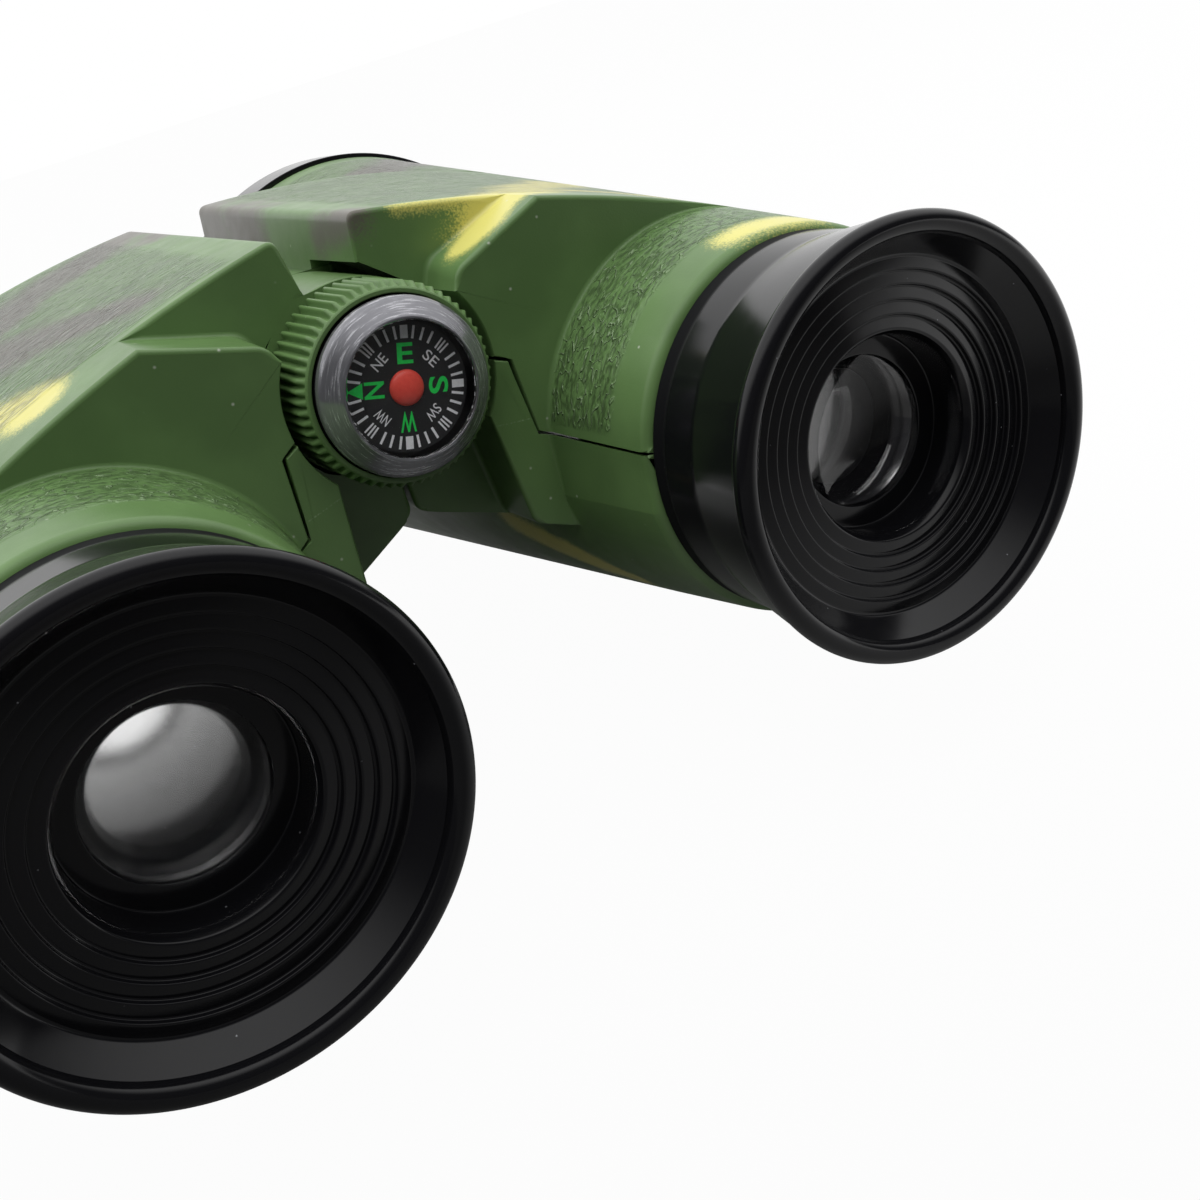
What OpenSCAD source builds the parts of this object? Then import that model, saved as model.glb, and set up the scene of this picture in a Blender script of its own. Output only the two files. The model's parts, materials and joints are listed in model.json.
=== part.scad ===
/* [Fold] */
// Gap between the two objective hoods with the toy folded shut
hood_gap = 5.04; // [4:0.02:8]
// Droop of each arm below level with the toy folded shut
fold = 25.6; // [22:0.1:28]
// Gap between the two lower webs, which meet as the closed stop
stop_gap = 0.4; // [0.3:0.05:0.8]

/* [Barrel] */
// Radius of the collar at its eyepiece end
collar_r = 16.1; // [15.6:0.1:16.8]
// Radius of the barrel at its objective end
barrel_r = 25.2; // [24.4:0.1:25.6]
// How far the collar reaches behind the compass rim
collar_back = 10.2; // [9:0.1:12]
// How far the barrel reaches ahead of the compass rim
barrel_front = 87.9; // [82:0.1:94]
// Wall of the moulded shells
shell_wall = 2; // [1.8:0.1:2.4]
// Gap along the line where the upper and lower shells meet
part_gap = 0.24; // [0.16:0.02:0.3]
// How far the line where the shells meet lies below the barrel axis
part_drop = 3.4; // [2.6:0.1:4]
// Height of that line above the hinge axis, where it leaves the knob's pocket
part_rise = 2.45; // [2:0.05:3]
// Length of its level run beside the pocket
part_run = 1; // [0.6:0.1:1.4]
// Reach of its slanted run
part_slant = 3.25; // [2.8:0.05:3.8]

/* [Hinge block] */
// Rear face of the block, beside the knob
rear_face = 2.7; // [2.2:0.1:3.4]
// Depth of the step from the rear face to the recessed face
step_depth = 5.8; // [5.2:0.1:6.4]
// Length of the block from the recessed face forward
block_len = 46.8; // [42:0.1:50]
// How far the top inner edge leans over the hinge axis
block_lean = 2.7; // [1.6:0.1:3]
// Height of the top inner edge over the hinge axis at the rear
edge_rear_h = 12.9; // [12.4:0.1:14]
// Height of the top inner edge over the hinge axis at the front
edge_front_h = 13.9; // [13:0.1:15]
// Rounding of the top inner edge
edge_round = 0.6; // [0.3:0.05:0.9]
// Rise of the top panel over a straight line, at the rear
crown_rear = 1.2; // [0.6:0.1:1.8]
// Rise of the top panel over a straight line, at the front
crown_front = 1.55; // [0.6:0.05:2]
// Depth of the web below the arm
web_drop = 11.1; // [10.6:0.1:12]
// Distance of the raised rear plate from the hinge axis
plate_x = 4.65; // [4:0.05:5.4]
// Height of the plate's upper inner corner
plate_top = 9.25; // [8.6:0.05:9.8]
// Reach of the plate's slanted upper edge, along and up
plate_slant = 6.45; // [6:0.05:7]
// Height at which the plate's slanted lower edge starts
plate_low = -1.85; // [-2.4:0.05:-1.2]
// Draft of the plate's edge over the step
plate_draft = 0.5; // [0.2:0.05:0.8]

/* [Hinge] */
// Step from the knob's ribs out to the hinge knuckles
knuckle_step = 0.1; // [0:0.05:0.3]
// Number of knuckles, taken in turn by the left and the right shell
knuckles = 4; // [4:2:6]
// Play between neighbouring knuckles
knuckle_gap = 0.3; // [0.2:0.05:0.5]
// Clear space between a knuckle and the other half
knuckle_clear = 1; // [0.8:0.1:1.2]
// Radius of the hinge pin
pin_r = 2; // [1.8:0.1:2.4]
// Radius of the pin's head
pin_head_r = 3.6; // [3.2:0.1:4]
// Thickness of the pin's head
pin_head_t = 1.2; // [1:0.1:1.6]
// Radial clearance of the pin in its bores
run_fit = 0.05; // [0.03:0.01:0.08]
// Clearance between faces that sit together
seat_gap = 0.1; // [0.05:0.01:0.15]
// Thickness of the spring washer
washer_t = 0.6; // [0.4:0.1:0.8]
// Radius of the nut
nut_r = 3.6; // [3.2:0.1:4]
// Thickness of the nut
nut_t = 2.2; // [1.8:0.1:2.6]
// Wall of the cap over the nut
cap_wall = 1.4; // [1:0.1:1.8]

/* [Knob] */
// Depth of the grooves between the ribs
groove_depth = 0.4; // [0.2:0.05:0.5]
// Radius of a groove's round bottom
groove_r = 0.26; // [0.22:0.01:0.3]
// Number of ribs
ribs = 60; // [40:1:66]
// Rear end of the knob, from the compass rim
knob_rear = 0.85; // [0.7:0.05:1.2]
// Length of the slope behind the ribs
knob_slope = 1.9; // [1:0.1:2.4]
// Rise of the slope to the tops of the ribs
slope_rise = 0.55; // [0.45:0.05:0.8]
// Clear space between the knob and the pocket around it
pocket_clear = 0.8; // [0.5:0.1:1]
// Width of the flat lip around the compass
nest_lip = 0.45; // [0.3:0.05:0.6]

/* [Compass] */
// Radius of the compass case
case_r = 7; // [6.8:0.05:7.1]
// Width of the sloped bezel around the flat window
bezel = 1.55; // [1.3:0.05:1.8]
// How far the window stands proud of the rim
window_rise = 1.5; // [1.3:0.1:1.8]
// Wall of the clear case
case_wall = 0.6; // [0.5:0.05:0.7]
// Height of the case's straight rim
case_rim = 0.55; // [0.4:0.05:0.6]
// Depth of the compass under the rim
compass_depth = 4.85; // [4.6:0.05:5.2]
// Wall of the compass cup
cup_wall = 0.8; // [0.6:0.05:1]
// Floor of the compass cup
cup_floor = 1.3; // [1:0.1:1.5]
// Clear space around the card
card_clear = 1.1; // [0.9:0.05:1.4]
// Thickness of the card
card_t = 0.5; // [0.4:0.05:0.6]
// Radius of the red cap on the card
cap_r = 1.4; // [1.2:0.05:1.6]
// Height of the red cap
cap_h = 0.55; // [0.4:0.05:0.6]
// Radius of the pivot
pivot_r = 0.35; // [0.3:0.05:0.45]
// Length of the card's hub
hub_len = 1.1; // [0.9:0.1:1.3]
// Radius of the card's hub
hub_r = 1.05; // [0.9:0.05:1.3]

/* [Eyepiece] */
// Step from the collar in to the eyepiece tube
tube_step = 0.65; // [0.5:0.05:1]
// Length of the straight tube behind the collar
tube_len = 5.3; // [4.5:0.1:6]
// How far the rim of the cup flares out over the tube
rim_flare = 1.45; // [1.2:0.05:2]
// How far the rim reaches behind the compass rim
cup_back = 23.8; // [22:0.1:25]
// Radius of the rolled bead on the rim
bead_r = 0.9; // [0.7:0.05:1.1]
// Width of the dish between the rim and the ring steps
dish_width = 3.25; // [2.8:0.05:3.6]
// Depth of the dish below the rim
dish_depth = 3.1; // [2.8:0.1:3.6]
// Number of ring steps
ring_steps = 5; // [3:1:6]
// Drop from one ring step to the next
ring_drop = 0.25; // [0.15:0.05:0.3]
// Width of the ledge between the throat and the eye lens
throat_ledge = 1.6; // [1.3:0.05:2]
// Draw-in of the throat's bore
throat_taper = 0.4; // [0.2:0.05:0.6]
// Depth from the innermost step to the lens lip
throat_depth = 3.4; // [3:0.1:4]
// Radius of the eye lens
eye_lens_r = 6.5; // [6.2:0.05:6.8]
// Overlap of the lip on the eye lens
lens_lip = 0.55; // [0.4:0.05:0.7]
// Thickness of the lens lip
lip_t = 0.6; // [0.5:0.05:0.8]
// Edge thickness of the eye lens
eye_lens_edge = 2; // [1.6:0.1:2.4]
// Radius of curvature of the eye lens's hollow face
eye_lens_curve = 13; // [12:0.5:16]
// Length of the eye lens retainer
eye_retainer_len = 1.6; // [1.2:0.1:2]
// Wall of the eye lens retainer
eye_retainer_wall = 1.1; // [0.8:0.1:1.4]
// Length of the spigot inside the collar
spigot_len = 12.5; // [11.5:0.1:13.5]
// Wall of that spigot at its mouth
spigot_wall = 1.7; // [1.4:0.1:2]
// Thickness of the flange that the shells trap
flange_t = 1.35; // [1:0.05:1.6]

/* [Objective] */
// Step from the barrel out to the objective hood
ring_step = 0.6; // [0.4:0.05:0.9]
// Length of the hood ahead of the barrel
hood_len = 8.3; // [7.8:0.1:9]
// Wall of the hood at its mouth
hood_wall = 1.6; // [1.4:0.1:2]
// Rounding of the hood's front edge
hood_round = 0.6; // [0.4:0.1:0.8]
// Length of the hood's spigot inside the barrel
ring_spigot = 6; // [5:0.1:7]
// Wall of the spigot
ring_wall = 2; // [1.8:0.1:2.4]
// Wall of the barrel around the spigot
ring_seat_wall = 1.6; // [1.4:0.1:1.8]
// Distance of the lens seat ahead of the barrel's end
lens_seat_in = 0.6; // [0.4:0.1:0.8]
// Overlap of the hood's lip on the objective lens
lens_cover = 1.1; // [0.8:0.1:1.4]
// Edge thickness of the objective lens
lens_edge = 2.2; // [1.8:0.1:2.6]
// Radius of curvature of the objective lens
lens_curve = 62; // [58:1:80]
// Length of the objective lens retainer
lens_retainer_len = 1.8; // [1.4:0.1:2]

/* [Screws] */
// Radius of a shell screw's shank
screw_r = 1.2; // [1:0.05:1.4]
// Radius of a shell screw's head
screw_head_r = 2.3; // [2:0.05:2.5]
// Thickness of a shell screw's head
screw_head_t = 1.6; // [1.3:0.1:1.8]
// Length of a shell screw under its head
screw_len = 13; // [11:0.5:15]
// How far a shell screw's head lies inside the web
screw_sink = 0.8; // [0.5:0.1:1.2]
// Wall of the screw bosses
boss_wall = 1.5; // [1.3:0.1:1.8]
// Wall between a screw's head and the room for the knuckles
screw_clear = 0.2; // [0.15:0.05:0.6]
// Distance of the rear screw from the recessed face
screw_rear_inset = 9; // [7:0.5:11]
// Distance of the front screw from the front of the block
screw_front_inset = 17; // [15:0.5:20]

/* [Hidden] */
$fn = 96;

// Sides: the left half mirrors the right one, and takes the even knuckles
LEFT = -1;
RIGHT = 1;

// Colours as in the photograph
body_green = [0.23, 0.34, 0.17];
gloss_black = [0.03, 0.03, 0.035];
clear = [0.8, 0.85, 0.88, 0.4];
steel = [0.7, 0.7, 0.72];
card_black = [0.05, 0.05, 0.055];
cap_red = [0.82, 0.2, 0.17];

// A cut runs this far past what it cuts, and a loft's end slices are this thick
over = 1;
slice = 0.01;
// Half the width of a block that holds everything on one side of a plane
far = 150;

// Stations along the hinge axis, from the compass rim, forward positive
step_face = rear_face + step_depth;
block_front = step_face + block_len;
knuckle_pitch = block_len / knuckles;
ring_front = barrel_front + seat_gap + hood_len;
barrel_slope = (barrel_r - collar_r) / (barrel_front + collar_back);

// Radii about the hinge axis
nest_r = case_r + seat_gap;
knob_r = nest_r + nest_lip + slope_rise;
knuckle_r = knob_r + knuckle_step;
window_r = case_r - bezel;
compass_bore = case_r - seat_gap - cup_wall;
card_r = compass_bore - card_clear;
recess_r = knuckle_r + knuckle_clear;
pocket_r = knob_r + pocket_clear;
pin_bore_r = pin_r + run_fit;
screw_x = recess_r + screw_head_r + screw_clear;

// Radii about a barrel axis
tube_r = collar_r - tube_step;
rim_r = tube_r + rim_flare;
dish_r = rim_r - dish_width;
throat_r = eye_lens_r + throat_ledge;
spigot_r = collar_r - shell_wall - seat_gap;
spigot_bore_r = spigot_r + seat_gap;
ring_spigot_r = barrel_at(barrel_front - ring_spigot) - ring_seat_wall;
lens_r = ring_spigot_r - ring_wall;
ring_r = barrel_r + ring_step;
// Distance from the hinge axis to each barrel axis
arm = (ring_r + hood_gap / 2) / cos(fold);

// Stations of the eyepiece
shoulder_y = -collar_back - seat_gap;
dish_y = -cup_back + dish_depth;
throat_y = dish_y + (ring_steps - 1) * ring_drop;
lip_y = throat_y + throat_depth;
eye_seat_y = lip_y + lip_t;
eye_retainer_y = eye_seat_y + eye_lens_edge + 2 * seat_gap;
spigot_end = shoulder_y + spigot_len;

// Stations of the objective
ring_back = barrel_front + seat_gap;
lens_seat_y = ring_back + lens_seat_in;
lens_retainer_y = lens_seat_y - lens_edge - 2 * seat_gap - lens_retainer_len;

// Stations of the knob and compass
knob_front = step_face - knuckle_gap;
compass_floor = compass_depth;
pin_head_y = compass_floor + 2 * seat_gap;
pin_shoulder = pin_head_y + pin_head_t;
washer_y = block_front + seat_gap;
nut_y = washer_y + washer_t + seat_gap;
pin_end = nut_y + nut_t;
cap_crown = pin_end + knuckle_clear;
cap_front = cap_crown + cap_wall;
card_y = 0;

// Outer radius of the barrel at station y
function barrel_at(y) = collar_r + barrel_slope * (y + collar_back);

function lerp(a, b, t) = a + (b - a) * t;

// Top line of the block at station y: a chord from the inner edge to the barrel's top, crowned
function top_line(y, edge_h, crown, steps = 10) = [
    for (i = [0 : steps])
        let (t = i / steps)
        [lerp(-block_lean, arm, t), lerp(edge_h, barrel_at(y), t) + crown * 4 * t * (1 - t)]
];

// A point given in the folded pose, in the flat frame of a half
function unfold(x, z) = [x * cos(fold) - z * sin(fold), x * sin(fold) + z * cos(fold)];

// Stop face of the lower web, upright in the folded pose
web_stop_z = -(web_drop + stop_gap / 2 * sin(fold)) / cos(fold);
web_low = unfold(stop_gap / 2, web_stop_z);
web_high = unfold(stop_gap / 2, -knuckle_r);

// Points of an arc about c from angle a to angle b
function arc(c, r, a, b, n = 12) = [
    for (i = [0 : n])
        c + r * [cos(lerp(a, b, i / n)), sin(lerp(a, b, i / n))]
];

// Stands the model on its lowest point, centred
module in_frame() {
    translate([0, (cup_back - ring_front) / 2, arm * sin(fold) + ring_r])
        children();
}

// Folds a right half that is drawn flat, or its mirror image for the left
module half(side) {
    in_frame()
        mirror([side == LEFT ? 1 : 0, 0, 0])
            rotate([0, fold, 0])
                children();
}

// Extrudes an outline of the XZ plane from station y0 to y1
module prism(y0, y1) {
    translate([0, y1, 0])
        rotate([90, 0, 0])
            linear_extrude(height = y1 - y0)
                children();
}

// Turns a profile of radius and station about the hinge axis
module turned(profile) {
    rotate([-90, 0, 0])
        rotate_extrude()
            polygon(profile);
}

// A rod about the hinge axis from y0 to y1
module rod(r, y0, y1) {
    translate([0, y0, 0])
        rotate([-90, 0, 0])
            cylinder(r = r, h = y1 - y0);
}

// A tube about the hinge axis from y0 to y1
module tube(r_out, r_in, y0, y1) {
    difference() {
        rod(r_out, y0, y1);
        rod(r_in, y0 - over, y1 + over);
    }
}

module on_barrel() {
    translate([arm, 0, 0])
        children();
}

// Unit vector from a to b, and the same turned a quarter to the right
function toward(a, b) = (b - a) / norm(b - a);
function right_of(v) = [v[1], -v[0]];
// Centre of a rounding of radius r at the corner between the edges a-corner and corner-b, inside them
function round_centre(a, corner, b, r) =
    let (n = right_of(toward(a, corner)), m = right_of(toward(corner, b)))
    corner + r * (n + m) / (1 + n * m);

// Section of the block at station y, with its top inner edge rounded
module block_section(y, edge_h, crown) {
    top = top_line(y, edge_h, crown);
    translate(round_centre(web_high, top[0], top[1], edge_round))
        circle(r = edge_round, $fn = 32);
    polygon(concat(
        [for (i = [1 : len(top) - 1]) top[i]],
        [[arm, -web_drop], web_low, web_high]
    ));
}

// The block between barrel and hinge, lofted from rear to front
module block() {
    hull() {
        prism(step_face, step_face + slice)
            block_section(step_face, edge_rear_h, crown_rear);
        prism(block_front - slice, block_front)
            block_section(block_front, edge_front_h, crown_front);
    }
}

// Section of the raised rear plate, with its two slanted inner edges
module plate_section(y, draft) {
    corner = [plate_x, plate_top + draft];
    slant_end = corner + [plate_slant, plate_slant];
    low_reach = web_drop + plate_low;
    polygon(concat(
        [corner, slant_end],
        [for (p = top_line(y, edge_rear_h, crown_rear)) if (p[0] > slant_end[0] + over) p],
        [[arm, -web_drop], [plate_x + low_reach, -web_drop], [plate_x, plate_low]]
    ));
}

module plate() {
    hull() {
        prism(rear_face, rear_face + slice)
            plate_section(rear_face, 0);
        prism(step_face, step_face + slice)
            plate_section(step_face, plate_draft);
    }
}

// The outer cone of the barrel and collar
module barrel() {
    on_barrel()
        turned([[0, -collar_back], [collar_r, -collar_back], [barrel_r, barrel_front], [0, barrel_front]]);
}

// What is hollow inside the barrel: spigot seats at both ends and a cone between them
module barrel_hollow() {
    seat_end = spigot_end - flange_t - seat_gap;
    ring_seat = barrel_front - ring_spigot - seat_gap;
    on_barrel()
        turned([
            [0, -collar_back - over], [spigot_bore_r, -collar_back - over], [spigot_bore_r, seat_end],
            [barrel_at(seat_end) - shell_wall, seat_end], [barrel_at(ring_seat) - shell_wall, ring_seat],
            [ring_spigot_r + seat_gap, ring_seat], [ring_spigot_r + seat_gap, barrel_front + over],
            [0, barrel_front + over]
        ]);
}

// What is hollow inside the block
module block_hollow() {
    x0 = recess_r + shell_wall;
    z1 = edge_rear_h - shell_wall;
    prism(step_face + shell_wall, block_front - shell_wall)
        polygon([
            [x0, shell_wall - web_drop], [arm, shell_wall - web_drop],
            [arm, collar_r - shell_wall], [x0 + shell_wall, z1 + shell_wall], [x0, z1]
        ]);
}

screw_stations = [step_face + screw_rear_inset, block_front - screw_front_inset];

// Sets its children at each screw, with the arm's underside up to the parting line along +Z
module at_screws() {
    for (y = screw_stations)
        translate([screw_x, y, -web_drop])
            children();
}

module screw_bosses() {
    at_screws()
        cylinder(r = screw_head_r + boss_wall, h = web_drop + edge_rear_h - shell_wall);
}

// The whole form of a half without its knuckles
module half_form() {
    difference() {
        union() {
            block();
            plate();
            barrel();
        }
        difference() {
            union() {
                barrel_hollow();
                block_hollow();
            }
            screw_bosses();
        }
        rod(pocket_r, rear_face - over, step_face);
    }
}

// The space below the stepped line where the shells meet, raised by a gap
module below_part_line(gap) {
    // Its corners move out by the tangent of half the slant, so the gap keeps its width
    slant_angle = atan2(part_rise + part_drop, part_slant);
    slant_x = pocket_r + part_run + gap * tan(slant_angle / 2);
    prism(-far, far)
        polygon([
            [-far, -far], [far, -far], [far, gap - part_drop],
            [slant_x + part_slant, gap - part_drop], [slant_x, gap + part_rise], [-far, gap + part_rise]
        ]);
}

// Ends of knuckle i along the hinge
function knuckle_rear(i) = step_face + i * knuckle_pitch + (i > 0 ? knuckle_gap / 2 : 0);
function knuckle_front(i) = step_face + (i + 1) * knuckle_pitch - (i < knuckles - 1 ? knuckle_gap / 2 : 0);
// First knuckle of a side
function first_knuckle(side) = side == LEFT ? 0 : 1;

module own_knuckles(side, extra = 0) {
    for (i = [first_knuckle(side) : 2 : knuckles - 1])
        rod(knuckle_r + extra, knuckle_rear(i) - extra, knuckle_front(i) + extra);
}

// Room in one half for the knuckles of the other, and for the cap ahead of them
module knuckle_room(side) {
    rod(knuckle_r + knuckle_gap, block_front, cap_front + over);
    for (i = [first_knuckle(-side) : 2 : knuckles - 1])
        rod(recess_r, step_face + i * knuckle_pitch - knuckle_gap / 2,
            step_face + (i + 1) * knuckle_pitch + (i < knuckles - 1 ? knuckle_gap / 2 : over));
}

module upper_shell(side) {
    color(body_green)
        half(side)
            difference() {
                union() {
                    difference() {
                        half_form();
                        below_part_line(part_gap);
                        knuckle_room(side);
                    }
                    own_knuckles(side);
                }
                rod(pin_bore_r, rear_face, block_front + over);
                at_screws()
                    cylinder(r = screw_r + run_fit, h = screw_sink + screw_head_t + screw_len + over);
            }
}

module lower_shell(side) {
    color(body_green)
        half(side)
            difference() {
                intersection() {
                    half_form();
                    below_part_line(0);
                }
                knuckle_room(side);
                own_knuckles(side, part_gap);
                at_screws() {
                    cylinder(r = screw_r + seat_gap, h = web_drop + part_rise + over);
                    translate([0, 0, -over])
                        cylinder(r = screw_head_r + seat_gap, h = over + screw_sink + screw_head_t);
                }
            }
}

module shell_screws(side) {
    color(steel)
        half(side)
            at_screws()
                translate([0, 0, screw_sink - seat_gap]) {
                    cylinder(r = screw_head_r, h = screw_head_t);
                    cylinder(r = screw_r, h = screw_head_t + screw_len);
                }
}

// Ring steps of the eyecup, from the dish to the throat
function ring_edge(i) = lerp(dish_r, throat_r, i / ring_steps);
ring_profile = [
    for (i = [0 : ring_steps - 1], j = [0, 1])
        [ring_edge(i + j), dish_y + i * ring_drop]
];

module eyepiece(side) {
    bead = [rim_r - bead_r, bead_r - cup_back];
    // Angles at which the rolled bead leaves the flare and joins the dish
    bead_from = 35;
    bead_to = -195;
    lip_r = eye_lens_r - lens_lip;
    seat_r = eye_lens_r + run_fit;
    mouth_r = spigot_r - spigot_wall;
    flange_r = barrel_at(spigot_end - flange_t) - shell_wall - 2 * seat_gap;
    color(gloss_black)
        half(side)
            on_barrel()
                turned(concat(
                    [[tube_r, shoulder_y], [tube_r, shoulder_y - tube_len]],
                    arc(bead, bead_r, bead_from, bead_to),
                    ring_profile,
                    [
                        [throat_r - throat_taper, throat_y + throat_taper],
                        [throat_r - throat_taper, lip_y], [lip_r, lip_y], [lip_r, eye_seat_y],
                        [seat_r, eye_seat_y], [seat_r, eye_retainer_y + eye_retainer_len],
                        [mouth_r, spigot_end - flange_t], [mouth_r, spigot_end],
                        [flange_r, spigot_end], [flange_r, spigot_end - flange_t],
                        [spigot_r, spigot_end - flange_t], [spigot_r, shoulder_y]
                    ]
                ));
}

// A hollow lens: a disc between its seat and its back, hollowed inside the lip towards the eye
module eye_lens(side) {
    hollow_r = eye_lens_r - lens_lip - run_fit;
    seat_y = eye_seat_y + seat_gap;
    color(clear)
        half(side)
            on_barrel()
                difference() {
                    rod(eye_lens_r, seat_y, seat_y + eye_lens_edge);
                    translate([0, seat_y - sqrt(eye_lens_curve * eye_lens_curve - hollow_r * hollow_r), 0])
                        sphere(r = eye_lens_curve, $fn = 400);
                }
}

module eye_retainer(side) {
    color(gloss_black)
        half(side)
            on_barrel()
                tube(eye_lens_r, eye_lens_r - eye_retainer_wall, eye_retainer_y, eye_retainer_y + eye_retainer_len);
}

module objective_ring(side) {
    mouth_r = ring_r - hood_wall;
    front = [ring_r - hood_round, ring_front - hood_round];
    hood_depth_r = lens_r + run_fit;
    color(gloss_black)
        half(side)
            on_barrel()
                turned(concat(
                    [[ring_r, ring_back]],
                    arc(front, hood_round, 0, 90, 6),
                    [
                        [mouth_r, ring_front],
                        [hood_depth_r, lens_seat_y + lip_t], [lens_r - lens_cover, lens_seat_y + lip_t],
                        [lens_r - lens_cover, lens_seat_y], [hood_depth_r, lens_seat_y],
                        [hood_depth_r, barrel_front - ring_spigot], [ring_spigot_r, barrel_front - ring_spigot],
                        [ring_spigot_r, ring_back]
                    ]
                ));
}

// A bulging lens: a disc between its seat and its back, domed inside the lip
module objective_lens(side) {
    dome_r = lens_r - lens_cover - run_fit;
    seat_y = lens_seat_y - seat_gap;
    color(clear)
        half(side)
            on_barrel() {
                rod(lens_r, seat_y - lens_edge, seat_y);
                intersection() {
                    rod(dome_r, seat_y - lens_edge, seat_y + dome_r);
                    translate([0, seat_y - sqrt(lens_curve * lens_curve - dome_r * dome_r), 0])
                        sphere(r = lens_curve, $fn = 400);
                }
            }
}

module objective_retainer(side) {
    color(gloss_black)
        half(side)
            on_barrel()
                tube(lens_r, lens_r - lens_cover, lens_retainer_y, lens_retainer_y + lens_retainer_len);
}

module hinge_pin() {
    color(steel)
        in_frame() {
            rod(pin_head_r, pin_head_y, pin_shoulder);
            rod(pin_r, pin_head_y, pin_end);
        }
}

module friction_washer() {
    color(steel)
        in_frame()
            tube(nut_r, pin_bore_r, washer_y, washer_y + washer_t);
}

module hinge_nut() {
    color(steel)
        in_frame()
            difference() {
                translate([0, nut_y, 0])
                    rotate([-90, 0, 0])
                        cylinder(r = nut_r, h = nut_t, $fn = 6);
                rod(pin_bore_r, nut_y - over, pin_end + over);
            }
}

module hinge_cap() {
    inner_r = nut_r + knuckle_clear;
    color(body_green)
        in_frame()
            turned(concat(
                [[inner_r, cap_crown], [inner_r, washer_y], [knuckle_r, washer_y]],
                arc([knuckle_r - cap_wall, cap_crown], cap_wall, 0, 90, 6),
                [[0, cap_front], [0, cap_crown]]
            ));
}

// The grooves between the knob's ribs, which run out on the slope behind them
module rib_grooves() {
    for (i = [0 : ribs - 1])
        rotate([0, 360 * i / ribs, 0])
            translate([knob_r - groove_depth + groove_r, 0, 0])
                rod(groove_r, knob_rear - over, knob_front + over);
}

module focus_knob() {
    head_r = pin_head_r + 2 * seat_gap;
    rear_r = nest_r + nest_lip;
    color(body_green)
        in_frame()
            difference() {
                turned([
                    [0, knob_rear], [rear_r, knob_rear], [knob_r, knob_rear + knob_slope],
                    [knob_r, knob_front], [0, knob_front]
                ]);
                rib_grooves();
                rod(nest_r, knob_rear - over, compass_floor + seat_gap);
                rod(head_r, compass_floor, pin_shoulder + seat_gap);
                rod(pin_bore_r, compass_floor, knob_front + over);
            }
}

module compass_base() {
    color(card_black)
        in_frame()
            difference() {
                rod(case_r - seat_gap, case_rim + seat_gap, compass_floor);
                rod(compass_bore, case_rim, compass_floor - cup_floor);
                rod(pivot_r, case_rim, compass_floor - cup_floor / 2);
            }
}

module compass_case() {
    color(clear)
        in_frame()
            turned([
                [case_r, case_rim], [case_r, 0], [window_r, -window_rise], [0, -window_rise],
                [0, case_wall - window_rise], [window_r - case_wall / 2, case_wall - window_rise],
                [compass_bore, 0], [compass_bore, case_rim]
            ]);
}

module compass_card() {
    color(card_black)
        in_frame()
            difference() {
                union() {
                    rod(card_r, card_y, card_y + card_t);
                    rod(hub_r, card_y, card_y + card_t + hub_len);
                }
                rod(pivot_r + run_fit, card_y + card_t, card_y + card_t + hub_len + over);
            }
}

module compass_pivot() {
    color(steel)
        in_frame()
            rod(pivot_r, card_y + card_t + seat_gap, compass_floor - cup_floor / 2);
}

module card_cap() {
    curve = (cap_r * cap_r + cap_h * cap_h) / (2 * cap_h);
    color(cap_red)
        in_frame()
            intersection() {
                rod(cap_r, card_y - cap_h, card_y);
                translate([0, card_y - cap_h + curve, 0])
                    sphere(r = curve);
            }
}

upper_shell(LEFT);  // left_upper_shell
lower_shell(LEFT);  // left_lower_shell
upper_shell(RIGHT);  // right_upper_shell
lower_shell(RIGHT);  // right_lower_shell
eyepiece(LEFT);  // left_eyepiece
eyepiece(RIGHT);  // right_eyepiece
eye_lens(LEFT);  // left_eye_lens
eye_lens(RIGHT);  // right_eye_lens
eye_retainer(LEFT);  // left_eye_retainer
eye_retainer(RIGHT);  // right_eye_retainer
objective_ring(LEFT);  // left_objective_ring
objective_ring(RIGHT);  // right_objective_ring
objective_lens(LEFT);  // left_objective_lens
objective_lens(RIGHT);  // right_objective_lens
objective_retainer(LEFT);  // left_objective_retainer
objective_retainer(RIGHT);  // right_objective_retainer
shell_screws(LEFT);  // left_shell_screws
shell_screws(RIGHT);  // right_shell_screws
hinge_pin();
friction_washer();
hinge_nut();
hinge_cap();
focus_knob();
compass_base();
compass_case();
compass_card();
compass_pivot();
card_cap();
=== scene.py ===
import json
import math

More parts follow.
